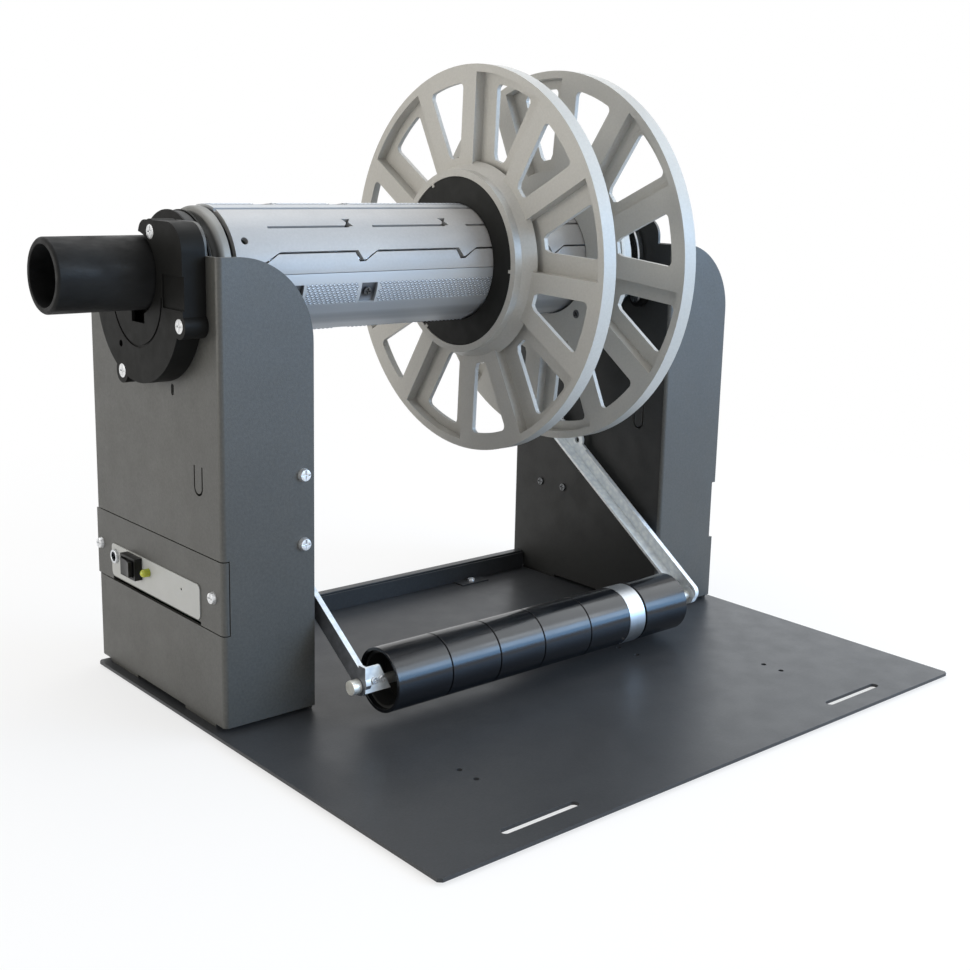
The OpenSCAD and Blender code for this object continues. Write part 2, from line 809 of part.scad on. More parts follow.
module foot_pads() color("#151515") at_plate()
  for (x = [foot_inset, (plate_w - foot_w) / 2, plate_w - foot_inset - foot_w])
    block([x, foot_inset, -foot_t], [x + foot_w, plate_d - foot_inset, 0]);

module rear_rail() color("#3a3e43") at_plate() difference() {
  block([rail_left_end, rail_y, plate_t], [rail_right_end, plate_d, rail_top]);
  block([rail_left_end - eps, rail_y + rail_t, plate_t - eps],
    [rail_right_end + eps, plate_d - rail_t, rail_top - rail_t]);
}

module rail_liner() color("#24272b") at_plate() difference() {
  union() {
    block([rail_left_end, liner_y, plate_t], [rail_right_end, liner_y + liner_t, rail_top - liner_drop]);
    block([tab_x - tab_w / 2, liner_y - tab_d, plate_t], [tab_x + tab_w / 2, liner_y + slip, plate_t + liner_t]);
  }
  rod_z(plate_t - eps, plate_t + liner_t + eps, tab_x, liner_y - tab_d / 2, screw_shank_r + slip, $fn = small);
}

module rail_screw() color("#d8dadc") at_plate()
  translate([tab_x, liner_y - tab_d / 2, plate_t + liner_t])
    pan_screw(rail_head_r, rail_head_h, screw_shank_r, liner_t);

// Towers

module tower_plan() difference() {
  union() {
    translate([bend_r, 0]) square([tower_w - bend_r, tower_d]);
    translate([0, bend_r]) square([tower_w, tower_d - 2 * bend_r]);
    for (y = [bend_r, tower_d - bend_r]) translate([bend_r, y]) circle(r = bend_r, $fn = mid);
  }
  translate([bend_r, tower_t]) square([tower_w, tower_d - 2 * tower_t]);
  translate([tower_t, bend_r]) square([tower_w, tower_d - 2 * bend_r]);
  for (y = [bend_r, tower_d - bend_r])
    translate([bend_r, y]) circle(r = bend_r - tower_t, $fn = mid);
}

module tower_front_2d() {
  translate([0, plate_t + skirt_gap]) square([tower_w - shoulder_r, tower_top - plate_t - skirt_gap]);
  translate([0, plate_t + skirt_gap]) square([tower_w, tower_top - plate_t - skirt_gap - shoulder_r]);
  translate([tower_w - shoulder_r, tower_top - shoulder_r]) circle(r = shoulder_r, $fn = fine);
}

module hump_2d() {
  translate([hump_front, tower_top - hump_r])
    square([hump_back - hump_front, hump_top - tower_top]);
  translate([hump_front + hump_r, tower_top - hump_r])
    square([hump_back - hump_front - 2 * hump_r, hump_top - tower_top + hump_r]);
  for (y = [hump_front + hump_r, hump_back - hump_r])
    translate([y, hump_top - hump_r]) circle(r = hump_r, $fn = mid);
  translate([axis_y, axis_z]) circle(r = bearing_hole_r + hump_ring, $fn = fine);
}

module tongue_2d() {
  r = tongue_w / 2 + slit_w;
  translate([tongue_y + r, tongue_z + r]) difference() {
    union() {
      circle(r = r, $fn = small);
      translate([-r, 0]) square([2 * r, tongue_l - r]);
    }
    circle(r = tongue_w / 2, $fn = small);
    translate([-tongue_w / 2, 0]) square([tongue_w, tongue_l]);
  }
}

// A tower with its left face at place x.
module tower(x) difference() {
  union() {
    intersection() {
      translate([x, tower_y, 0]) linear_extrude(hump_top) tower_plan();
      translate([x, back_y + eps, 0]) rotate([90, 0, 0]) linear_extrude(tower_d + 2 * eps) tower_front_2d();
    }
    across_x(x, x + tower_t) hump_2d();
    for (y = [tower_y + foot_tab_in, back_y - foot_tab_in - foot_tab_l]) {
      block([x + tower_t / 2, y, plate_t], [x + foot_tab_w, y + foot_tab_l, plate_t + tower_t]);
      block([x + tower_t / 2, y, plate_t], [x + tower_t, y + foot_tab_l, plate_t + skirt_gap + tower_t]);
    }
  }
  across_x(x - eps, x + tower_t + eps) tongue_2d();
}

module left_tower() color("#4a4b49") at_plate() difference() {
  tower(tower_x);
  rod_x(tower_x - eps, web_in + eps, axis_y, axis_z, bearing_hole_r, $fn = fine);
  across_x(tower_x - eps, web_in + eps) {
    translate([oval_y, oval_z]) circle(r = oval_r, $fn = small);
    translate([oval_y, oval_z + oval_l]) circle(r = oval_r, $fn = small);
    translate([oval_y - oval_r, oval_z]) square([2 * oval_r, oval_l]);
  }
  block([tower_x - eps, tower_y - eps, panel_z - panel_gap],
    [tower_x + panel_wrap + panel_gap, back_y + eps, panel_z + panel_h + panel_gap]);
  for (z = [front_screw_low, front_screw_high])
    rod_y(tower_y - eps, tower_y + tower_t + eps, front_screw_x, z, screw_shank_r + slip, $fn = small);
}

module right_tower() color("#44474b") at_plate() difference() {
  tower(tower_right);
  for (s = [-1, 1])
    rod_x(tower_right - eps, web_out_right + eps, axis_y + s * support_off, axis_z - support_drop,
      support_pin_r + slip, $fn = small);
  for (y = [web_screw_front, web_screw_front + web_screw_pitch])
    rod_x(tower_right - eps, web_out_right + eps, y, web_screw_z, screw_shank_r + slip, $fn = small);
  rod_x(tower_right - eps, web_out_right + eps, pivot_y, pivot_z, pivot_r + slip, $fn = small);
  block([tower_right + tower_w - blank_notch, tower_y - eps, blank_z],
    [tower_right + tower_w + eps, tower_y + tower_t + eps, blank_z + blank_h]);
}

module left_inner_cover() color("#26282b") at_plate() difference() {
  block([tower_x + tower_w - cover_t - cover_gap, tower_y + tower_t + cover_gap, plate_t + cover_gap],
    [tower_x + tower_w - cover_gap, back_y - tower_t - cover_gap, inner_cover_top]);
  rod_x(tower_x + tower_w - cover_t - cover_gap - eps, tower_x + tower_w, pivot_y, pivot_z, pivot_r + slip,
    $fn = small);
}

// Outer cover of the right tower, rolled over the shoulder.
module right_outer_cover() color("#383b3f") at_plate() {
  r = shoulder_r - cover_gap;
  cx = tower_right + tower_w - shoulder_r;
  difference() {
    union() {
      block([cx + r - cover_t, tower_y + tower_t + cover_gap, plate_t + cover_gap],
        [cx + r, back_y - tower_t - cover_gap, tower_top - shoulder_r]);
      intersection() {
        translate([cx, back_y - tower_t - cover_gap, tower_top - shoulder_r]) rotate([90, 0, 0])
          linear_extrude(tower_d - 2 * tower_t - 2 * cover_gap) ring_2d(r, r - cover_t, $fn = fine);
        block([cx, tower_y, tower_top - shoulder_r - slip], [cx + shoulder_r, back_y, tower_top]);
      }
    }
    block([cx + r - cover_t - eps, tower_y + tower_t + blank_notch * 2, blank_z],
      [cx + r + eps, tower_y + tower_t + blank_notch * 3, blank_z + blank_h]);
  }
}

module tower_screws() color("#d4d6d8") at_plate()
  for (z = [front_screw_low, front_screw_high])
    translate([front_screw_x, tower_y, z]) rotate([90, 0, 0])
      pan_screw(screw_head_r, screw_head_h, screw_shank_r, screw_shank_l);

// Web screws and the support rollers' axle screws.
module web_screws() color("#6d6f72") at_plate() {
  for (y = [web_screw_front, web_screw_front + web_screw_pitch])
    translate([tower_right, y, web_screw_z]) rotate([0, -90, 0])
      pan_screw(screw_head_r / cross_share, screw_head_h / 2, screw_shank_r, screw_shank_l);
  for (s = [-1, 1]) translate([support_left - side_air, axis_y + s * support_off, axis_z - support_drop])
    rotate([0, -90, 0]) pan_screw(support_head_r, support_head_h, support_pin_r,
      web_out_right - support_left + side_air);
}

// Control panel

module panel_plan() {
  translate([bend_r, 0]) square([panel_wrap - bend_r, panel_t]);
  translate([0, bend_r]) square([panel_t, tower_d - bend_r]);
  translate([bend_r, bend_r]) intersection() {
    ring_2d(bend_r, bend_r - panel_t, $fn = mid);
    translate([-bend_r, -bend_r]) square([bend_r, bend_r]);
  }
}

module control_panel() color("#4c4d4b") at_plate() difference() {
  translate([tower_x, tower_y, panel_z]) linear_extrude(panel_h) panel_plan();
  block([tower_x - eps, label_y, panel_z - eps], [tower_x + panel_t + eps, label_back, panel_z + vent_h]);
  block([tower_x - eps, switch_y - switch_w / 2 + switch_wall, switch_z - switch_h / 2 + switch_wall],
    [tower_x + panel_t + eps, switch_y + switch_w / 2 - switch_wall, switch_z + switch_h / 2 - switch_wall]);
  rod_x(tower_x - eps, tower_x + panel_t + eps, socket_y, switch_z, socket_bore_r + panel_gap + slip, $fn = small);
  rod_x(tower_x - eps, tower_x + panel_t + eps, lamp_y, switch_z, lamp_r / 2 + slip, $fn = small);
  rod_x(tower_x - eps, tower_x + panel_t + eps, reset_y, switch_z, reset_r, $fn = small);
  for (y = [panel_screw_front, panel_screw_back])
    rod_x(tower_x - eps, tower_x + panel_t + eps, y, panel_screw_z, screw_shank_r / 2 + slip, $fn = small);
}

module panel_label() color("#b9bab6") at_plate() difference() {
  across_x(tower_x - label_t, tower_x) difference() {
    round_rect([label_y, label_z], [label_back, label_z + label_h], label_r);
    translate([switch_y - switch_w / 2 - slip, switch_z - switch_h / 2 - slip])
      square([switch_w + 2 * slip, switch_h + 2 * slip]);
    translate([socket_y, switch_z]) circle(r = socket_nut_r + slip, $fn = small);
    translate([lamp_y, switch_z]) circle(r = lamp_r + slip, $fn = small);
    translate([reset_y, switch_z]) circle(r = reset_r, $fn = small);
  }
}

module panel_screws() color("#d8dadc") at_plate()
  for (y = [panel_screw_front, panel_screw_back])
    translate([tower_x, y, panel_screw_z]) rotate([0, -90, 0])
      pan_screw(panel_head_r, panel_head_h, screw_shank_r / 2, panel_t);

module switch_body() color("#141415") at_plate() difference() {
  in_w = switch_w / 2 - switch_wall - slip;
  in_h = switch_h / 2 - switch_wall - slip;
  union() {
    block([tower_x - switch_out, switch_y - switch_w / 2, switch_z - switch_h / 2],
      [tower_x, switch_y + switch_w / 2, switch_z + switch_h / 2]);
    block([tower_x - slip, switch_y - in_w, switch_z - in_h], [tower_x + switch_in, switch_y + in_w, switch_z + in_h]);
  }
  block([tower_x - switch_out - eps, switch_y - switch_w / 2 + switch_wall, switch_z - switch_h / 2 + switch_wall],
    [tower_x - switch_wall, switch_y + switch_w / 2 - switch_wall, switch_z + switch_h / 2 - switch_wall]);
  rod_z(switch_z - switch_h / 2 - eps, switch_z + switch_h / 2 + eps, tower_x - switch_out + switch_wall, switch_y,
    rocker_pin_r + run_gap, $fn = small);
}

// Rocker with two sloping faces, on a pin along Z.
module switch_rocker() color("#1b1b1d") at_plate() {
  h = switch_h - 2 * switch_wall - 2 * panel_gap;
  w = switch_w / 2 - switch_wall - panel_gap * 2;
  px = tower_x - switch_out + switch_wall;
  translate([px, switch_y, switch_z - h / 2]) linear_extrude(h)
    polygon([[rocker_pin_r, -w / 3], [-rocker_out / 3, -w], [-rocker_out, -w], [-rocker_out + switch_wall, 0],
      [-rocker_out / 2 - switch_wall / 3, w], [-rocker_out / 9, w], [rocker_pin_r, w / 3]]);
  rod_z(switch_z - switch_h / 2 + slip, switch_z + switch_h / 2 - slip, px, switch_y, rocker_pin_r, $fn = small);
}

module power_socket() color("#8f9193") at_plate() difference() {
  union() {
    rod_x(tower_x - socket_out, tower_x, socket_y, switch_z, socket_nut_r, $fn = small);
    rod_x(tower_x - slip, tower_x + switch_in, socket_y, switch_z, socket_bore_r + panel_gap, $fn = small);
  }
  rod_x(tower_x - socket_out - eps, tower_x + switch_in - panel_t, socket_y, switch_z, socket_bore_r, $fn = small);
}

module signal_lamp() color("#c9cf1e") at_plate() {
  rod_x(tower_x - lamp_out + lamp_r, tower_x, lamp_y, switch_z, lamp_r, $fn = small);
  translate([tower_x - lamp_out + lamp_r, lamp_y, switch_z]) sphere(r = lamp_r, $fn = small);
  rod_x(tower_x - slip, tower_x + switch_in / 2, lamp_y, switch_z, lamp_r / 2, $fn = small);
}

// Side cover

module cover_outline(g) {
  difference() {
    translate([lid_y, lid_z]) circle(r = lid_r + g, $fn = fine);
    translate([lid_y - 2 * lid_r, axis_z + g]) square([4 * lid_r, 2 * lid_r]);
  }
  translate([block_front - g, lid_z - block_r]) square([block_r + g, hump_top - lid_z]);
  translate([block_front + block_r, hump_top - block_r]) circle(r = block_r + g, $fn = mid);
  round_rect([block_front + block_r - lug_r, lid_z - block_r], [block_back + g, hump_top + g], lug_r + g);
}

module cover_lobes() {
  for (p = [[lobe_a_y, lobe_a_z], [lobe_b_y, lobe_b_z], [lobe_c_y, lobe_c_z]])
    translate(p) circle(r = lobe_r, $fn = mid);
}

module side_cover() color("#17181a") at_plate() difference() {
  across_x(lid_x, tower_x - slip) {
    cover_outline(0);
    cover_lobes();
  }
  difference() {
    across_x(lid_x + lid_t, tower_x + eps) cover_outline(-lid_t);
    across_x(lid_x, tower_x + 2 * eps) cover_lobes();
  }
  rod_x(lid_x - eps, tower_x + eps, axis_y, axis_z, collar_hole_r, $fn = fine);
  block([lid_x - eps, axis_y - key_w / 2, axis_z - key_d],
    [lid_x + lid_t + eps, axis_y + key_w / 2, axis_z - collar_hole_r / 2]);
  across_x(lid_x - eps, lid_x + groove_cut) intersection() {
    translate([lid_y, lid_z]) ring_2d(groove_r + groove_w / 2, groove_r - groove_w / 2, $fn = fine);
    translate([lid_y - 2 * groove_r, lid_z - 2 * groove_r]) square([4 * groove_r, 2 * groove_r]);
  }
  block([lid_x - eps, recess_front, recess_z], [lid_x + recess_d, recess_back, recess_z + recess_h]);
  rod_x(lid_x - eps, lid_x + lid_t + eps, cover_hole_y, cover_hole_z, cover_hole_r,
    $fn = small);
  for (p = [[lobe_a_y, lobe_a_z], [lobe_b_y, lobe_b_z], [lobe_c_y, lobe_c_z]]) {
    rod_x(lid_x - eps, lid_x + cover_head_h, p[0], p[1], cover_head_r + slip, $fn = small);
    rod_x(lid_x, tower_x + eps, p[0], p[1], screw_shank_r + slip, $fn = small);
  }
}

module cover_screws() color("#e3e4e4") at_plate()
  for (p = [[lobe_a_y, lobe_a_z], [lobe_b_y, lobe_b_z], [lobe_c_y, lobe_c_z]])
    translate([lid_x + cover_head_h, p[0], p[1]]) rotate([0, -90, 0]) difference() {
      union() {
        cylinder(h = cover_head_h, r = cover_head_r, $fn = small);
        translate([0, 0, lid_x + cover_head_h + slip * 2 - tower_x])
          cylinder(h = tower_x - lid_x - cover_head_h - slip, r = screw_shank_r, $fn = small);
      }
      translate([0, 0, cover_head_h]) cross_cut(cover_head_r * 2);
    }

// Drive inside the left tower

module bearing_ring() color("#9a9c9e") at_plate() on_axis(tower_x, tower_x + bearing_w)
  ring_2d(bearing_hole_r - slip, journal_r + run_gap, $fn = fine);

module pulley(r, bore) {
  difference() {
    rod_x(pulley_left, pulley_left + pulley_w, 0, 0, r, $fn = fine);
    difference() {
      rod_x(pulley_left + pulley_rim, pulley_left + pulley_w - pulley_rim, 0, 0, r + eps, $fn = fine);
      rod_x(pulley_left, pulley_left + pulley_w, 0, 0, r - groove_d, $fn = fine);
    }
    rod_x(pulley_left - eps, pulley_left + pulley_w + eps, 0, 0, bore, $fn = mid);
  }
}

module belt_pulley() color("#1a1b1d") at_plate() translate([0, axis_y, axis_z]) pulley(pulley_r, core_r + slip);

module motor_pulley() color("#1a1b1d") at_plate() {
  translate([0, axis_y, motor_z]) pulley(small_pulley_r, motor_shaft_r);
  rod_x(pulley_left, bracket_x + bracket_t + motor_shaft_r, axis_y, motor_z, motor_shaft_r, $fn = small);
}

// Outline of two circles and their outer tangents.
module belt_2d(ra, rb) {
  d = axis_z - motor_z;
  t = asin((ra - rb) / d);
  translate([axis_y, axis_z]) circle(r = ra, $fn = fine);
  translate([axis_y, motor_z]) circle(r = rb, $fn = fine);
  polygon([[axis_y + ra * cos(t), axis_z - ra * sin(t)], [axis_y - ra * cos(t), axis_z - ra * sin(t)],
    [axis_y - rb * cos(t), motor_z - rb * sin(t)], [axis_y + rb * cos(t), motor_z - rb * sin(t)]]);
}

module drive_belt() color("#101011") at_plate()
  across_x(belt_mid - belt_w / 2, belt_mid + belt_w / 2) difference() {
    belt_2d(big_groove_r + belt_air + belt_t, small_groove_r + belt_air + belt_t);
    belt_2d(big_groove_r + belt_air, small_groove_r + belt_air);
  }

module motor_bracket() color("#8b8d8f") at_plate() difference() {
  place = bracket_half - spacer_in;
  union() {
    block([bracket_x, axis_y - bracket_half, motor_z - bracket_half],
      [bracket_x + bracket_t, axis_y + bracket_half, motor_z + bracket_half]);
    for (y = [-1, 1], z = [-1, 1])
      rod_x(web_in, bracket_x + slip, axis_y + y * place, motor_z + z * place, spacer_r, $fn = small);
  }
  rod_x(bracket_x - eps, bracket_x + bracket_t + eps, axis_y, motor_z, motor_shaft_r * 2, $fn = small);
}

module gear_motor() color("#6f7275") at_plate() difference() {
  rod_x(bracket_x + bracket_t, bracket_x + bracket_t + motor_l, axis_y, motor_z, motor_r, $fn = mid);
  rod_x(bracket_x, bracket_x + bracket_t + motor_shaft_r + eps, axis_y, motor_z, motor_shaft_r + run_gap, $fn = small);
}

module control_board() color("#1f4a33") at_plate() {
  y0 = tower_y + (tower_d - board_l) / 2;
  x0 = web_in + board_off;
  difference() {
    block([x0, y0, board_z], [x0 + board_t, y0 + board_l, board_z + board_h]);
    for (y = [y0 + spacer_in * 2, y0 + board_l - spacer_in * 2])
      rod_x(x0 - eps, x0 + board_t + eps, y, board_z + board_h - spacer_in, spacer_r / 2, $fn = small);
  }
  for (y = [y0 + spacer_in, y0 + board_l - spacer_in])
    rod_x(web_in, x0 + slip, y, board_z + spacer_in, spacer_r, $fn = small);
}

// Spindle

module handle_tube() color("#232426") at_plate() difference() {
  union() {
    rod_x(handle_left + handle_chamfer, journal_left, axis_y, axis_z, handle_r, $fn = fine);
    translate([handle_left, axis_y, axis_z]) rotate([0, 90, 0])
      cylinder(h = handle_chamfer, r1 = handle_r - handle_chamfer, r2 = handle_r, $fn = fine);
  }
  rod_x(handle_left - eps, journal_left + eps, axis_y, axis_z, handle_bore_r, $fn = fine);
}

module journal() color("#c4c6c8") at_plate()
  on_axis(journal_left, core_left) ring_2d(journal_r, journal_r - journal_t, $fn = fine);

module core_tube() color("#b9bbbd") at_plate()
  on_axis(core_left, core_right) ring_2d(core_r, core_r - core_t, $fn = fine);

module steel_disc() color("#cfd2d4") at_plate()
  on_axis(steel_left, steel_left + steel_w) ring_2d(steel_r, core_r + slip, $fn = fine);

module end_collar() color("#d2d2cd") at_plate() difference() {
  union() {
    rod_x(collar_left + collar_round, collar_left + collar_w, axis_y, axis_z, collar_r, $fn = fine);
    rod_x(collar_left, collar_left + collar_w, axis_y, axis_z, collar_r - collar_round, $fn = fine);
    translate([collar_left + collar_round, axis_y, axis_z]) rotate([0, 90, 0])
      rotate_extrude($fn = fine) translate([collar_r - collar_round, 0]) circle(r = collar_round, $fn = mid);
  }
  rod_x(collar_left - eps, collar_left + collar_w + eps, axis_y, axis_z, core_r + slip, $fn = fine);
  rod_x(collar_left + collar_w, collar_left + collar_w + 2 * collar_round, axis_y, axis_z, collar_r + eps, $fn = fine);
}

// Rings that carry the fixed half of the shells.
module core_spiders() color("#8d8f92") at_plate()
  for (x = [shell_left + spider_in, (shell_left + shell_right - spider_w) / 2, shell_right - spider_in - spider_w])
    on_axis(x, x + spider_w) {
      ring_2d(spider_low_r, core_r + slip, $fn = fine);
      intersection() {
        ring_2d(shell_in_r - slip, core_r + slip, $fn = fine);
        union() {
          wedge(half_low_a + spider_back_a, half_low_a + 90, 2 * mandrel_r);
          wedge(half_low_a + 90 - joint_a, seam_a - spider_front_a, 2 * mandrel_r);
        }
      }
    }

module right_plug() color("#161617") at_plate()
  on_axis(plug_left, plug_left + plug_w) ring_2d(plug_r, core_r + slip, $fn = fine);

module end_ring() color("#c8cbce") at_plate() difference() {
  union() {
    rod_x(ring_left + ring_chamfer, ring_left + ring_w - ring_chamfer, axis_y, axis_z, mandrel_r, $fn = fine);
    translate([ring_left, axis_y, axis_z]) rotate([0, 90, 0])
      cylinder(h = ring_chamfer, r1 = mandrel_r - ring_chamfer, r2 = mandrel_r, $fn = fine);
    translate([ring_left + ring_w - ring_chamfer, axis_y, axis_z]) rotate([0, 90, 0])
      cylinder(h = ring_chamfer, r1 = mandrel_r, r2 = mandrel_r - ring_chamfer, $fn = fine);
  }
  rod_x(ring_left - eps, ring_left + ring_w + eps, axis_y, axis_z, core_r - core_t, $fn = fine);
}

// Mandrel shells: h is 0 for the fixed half, 180 for the other.

module half(h) {
  translate([0, axis_y, axis_z]) rotate([h, 0, 0]) translate([0, -axis_y, -axis_z]) children();
}

// Places of the tooth tips along X.
function tooth_places() = [tooth_x, tooth_x + tooth_first_pitch, tooth_x + tooth_first_pitch + tooth_pitch,
  tooth_x + tooth_first_pitch + 2 * tooth_pitch];

// Prisms on the toothed seam at angle a, grown by the seam's air.
module teeth(a, steep, ramp, low) {
  translate([0, axis_y, axis_z]) rotate([-a, 0, 0]) rotate([90, 0, 0]) translate([0, 0, shell_in_r - shell_t])
    linear_extrude(2 * shell_t + shell_in_r / 4)
      for (x = tooth_places()) {
        first = x == tooth_x;
        left = first ? shell_left - eps : x - tooth_steep - steep;
        polygon([[left, seam_gap + slip], [left, first ? -tooth_h - low : 0],
          [x - tooth_tip / 2 - steep, -tooth_h - low], [x + tooth_tip / 2, -tooth_h - low],
          [x + tooth_ramp + ramp, 0], [x + tooth_ramp + ramp, seam_gap + slip]]);
      }
}

// Wide panel, grooved along its free edge.
module wide_panel(in_r) difference() {
  union() {
    on_axis(shell_left, shell_right) intersection() {
      ring_2d(mandrel_r, in_r, $fn = fine);
      wedge(seam_a, jaw_low_a + 180 - joint_a, 2 * mandrel_r);
    }
    intersection() {
      on_axis(shell_left, shell_right) ring_2d(mandrel_r, in_r, $fn = fine);
      teeth(seam_a, 0, 0, 0);
    }
  }
  for (k = [0 : 3]) translate([0, axis_y, axis_z]) rotate([-slot_row_a, 0, 0]) {
    block([row_x + k * row_pitch, -mandrel_r - eps, -row_w / 2],
      [row_x + k * row_pitch + row_l, -in_r + eps, row_w / 2]);
    translate([row_x + k * row_pitch + row_l, -in_r + eps, 0]) rotate([90, 0, 0]) linear_extrude(shell_t + 2 * eps)
      polygon([[-row_notch / 2, 0], [row_notch / 2, 0], [row_w / 2, row_notch / 2], [row_notch / 2, row_notch],
        [-row_notch / 2, row_notch], [-row_w / 2, row_notch / 2]]);
  }
  translate([0, axis_y, axis_z]) rotate([joint_a - jaw_low_a - 180, 0, 0])
    block([shell_left - eps, -mandrel_r - eps, -edge_groove], [shell_right + eps, -(mandrel_r + in_r) / 2, eps]);
  translate([shell_left + pin_hole_in, axis_y, axis_z]) rotate([-pin_hole_a, 0, 0]) rotate([90, 0, 0])
    translate([0, 0, in_r - eps]) cylinder(h = shell_t + 2 * eps, r = pin_hole_r, $fn = small);
}

// Narrow panel, with a bed for each tooth.
module narrow_panel(in_r, ramp_air) difference() {
  on_axis(shell_left, shell_right) intersection() {
    ring_2d(mandrel_r, in_r, $fn = fine);
    wedge(jaw_top_a + joint_a, seam_a - asin(seam_gap / mandrel_r), 2 * mandrel_r);
  }
  teeth(seam_a, steep_gap, ramp_air / sin(ramp_a()), seam_gap);
}

module jaw_2d(in_r) {
  strip0 = jaw_top_a - knurl_edge_a;
  strip1 = strip0 - knurl_a;
  strip3 = jaw_low_a + knurl_edge_a;
  strip2 = strip3 + knurl_a;
  mid_a = (jaw_top_a + jaw_low_a) / 2;
  difference() {
    intersection() {
      circle(r = mandrel_r, $fn = fine);
      union() {
        wedge(jaw_top_a, strip1 - joint_a / 2, 2 * mandrel_r);
        wedge(strip2 + joint_a / 2, jaw_low_a, 2 * mandrel_r);
        polygon([[0, 0], mandrel_r * [cos(strip1), sin(strip1)],
          (mandrel_r - flat_depth) * [cos(strip1 - knurl_edge_a), sin(strip1 - knurl_edge_a)],
          (mandrel_r - ridge_depth) * [cos(mid_a), sin(mid_a)],
          (mandrel_r - flat_depth) * [cos(strip2 + knurl_edge_a), sin(strip2 + knurl_edge_a)],
          mandrel_r * [cos(strip2), sin(strip2)]]);
      }
    }
    circle(r = in_r, $fn = fine);
  }
}

function pocket_places() = [for (k = [0, 1, 4]) pocket_x + k * pocket_pitch];
function pocket_angles() = [jaw_top_a - knurl_edge_a - knurl_a / 2, jaw_low_a + knurl_edge_a + knurl_a / 2];

module jaw(in_r) difference() {
  on_axis(shell_left, shell_right) jaw_2d(in_r);
  for (x = pocket_places(), a = pocket_angles()) translate([x, axis_y, axis_z]) rotate([-a, 0, 0]) {
    block([-pocket_l / 2, -mandrel_r - eps, -pocket_w / 2], [pocket_l / 2, pocket_depth - mandrel_r, pocket_w / 2]);
    rotate([90, 0, 0]) translate([0, 0, in_r - eps]) cylinder(h = shell_t + eps, r = jaw_head_r / 2 + slip, $fn = small);
  }
}

module jaw_screws(in_r)
  for (x = pocket_places(), a = pocket_angles()) translate([x, axis_y, axis_z]) rotate([-a, 0, 0]) rotate([90, 0, 0])
    translate([0, 0, mandrel_r - pocket_depth]) {
      difference() {
        cylinder(h = jaw_head_h, r = jaw_head_r, $fn = small);
        translate([0, 0, jaw_head_h]) cross_cut(jaw_head_r * 2);
      }
      translate([0, 0, in_r + pocket_depth - mandrel_r]) cylinder(h = mandrel_r - in_r - pocket_depth + slip,
        r = jaw_head_r / 2, $fn = small);
    }

module jaw_lower() color("#a9b4c0") at_plate() jaw(shell_in_r);
module wide_panel_lower() color("#c6c7c6") at_plate() half(180) wide_panel(shell_in_r);
module narrow_panel_front() color("#c6c7c6") at_plate() narrow_panel(shell_in_r, ramp_gap);
module jaw_screws_lower() color("#8f9295") at_plate() jaw_screws(shell_in_r);
module jaw_upper() color("#a9b4c0") at_plate() half(180) jaw(slide_in_r);
module wide_panel_upper() color("#c6c7c6") at_plate() wide_panel(slide_in_r);
module narrow_panel_back() color("#c6c7c6") at_plate() half(180) narrow_panel(slide_in_r, back_ramp_gap);
module jaw_screws_upper() color("#8f9295") at_plate() half(180) jaw_screws(slide_in_r);

// Roll flanges, hub towards the left, rim's left face at X = 0.

// Point on a window's long side at radius r.
function window_side(r) = r * [cos(sector_a / 2 - asin(spoke_w / 2 / r)), sin(sector_a / 2 - asin(spoke_w / 2 / r))];

module window_2d(a) rotate(a) intersection() {
  far = window_side(2 * window_r);
  near = window_side(window_in_r + window_chamfer);
  end = window_side(window_in_r);
  mid_r = window_r - window_round;
  corner_a = sector_a / 2 - asin((spoke_w / 2 + window_round) / mid_r);
  tangent_r = sqrt(mid_r * mid_r - window_round * (spoke_w + window_round));
  union() {
    circle(r = tangent_r, $fn = fine);
    intersection() {
      circle(r = window_r, $fn = fine);
      wedge(-corner_a, corner_a, window_r);
    }
    for (s = [-1, 1]) rotate(s * corner_a) translate([mid_r, 0]) circle(r = window_round, $fn = small);
  }
  polygon([[end[0], window_chamfer / 2 - end[1]], [near[0], -near[1]], [far[0], -far[1]], far, near,
    [end[0], end[1] - window_chamfer / 2]]);
}

// Even sectors lie flush with the left face, the others with the right face.
module sector_2d(a, r1, grow) intersection() {
  circle(r = r1, $fn = fine);
  union() for (k = [0 : 5]) rotate(a + 2 * k * sector_a) {
    s = grow / sin(sector_a / 2);
    polygon([[-s, 0], 2 * r1 * [cos(-sector_a / 2), sin(-sector_a / 2)] - [s, 0],
      2 * r1 * [cos(sector_a / 2), sin(sector_a / 2)] - [s, 0]]);
  }
}

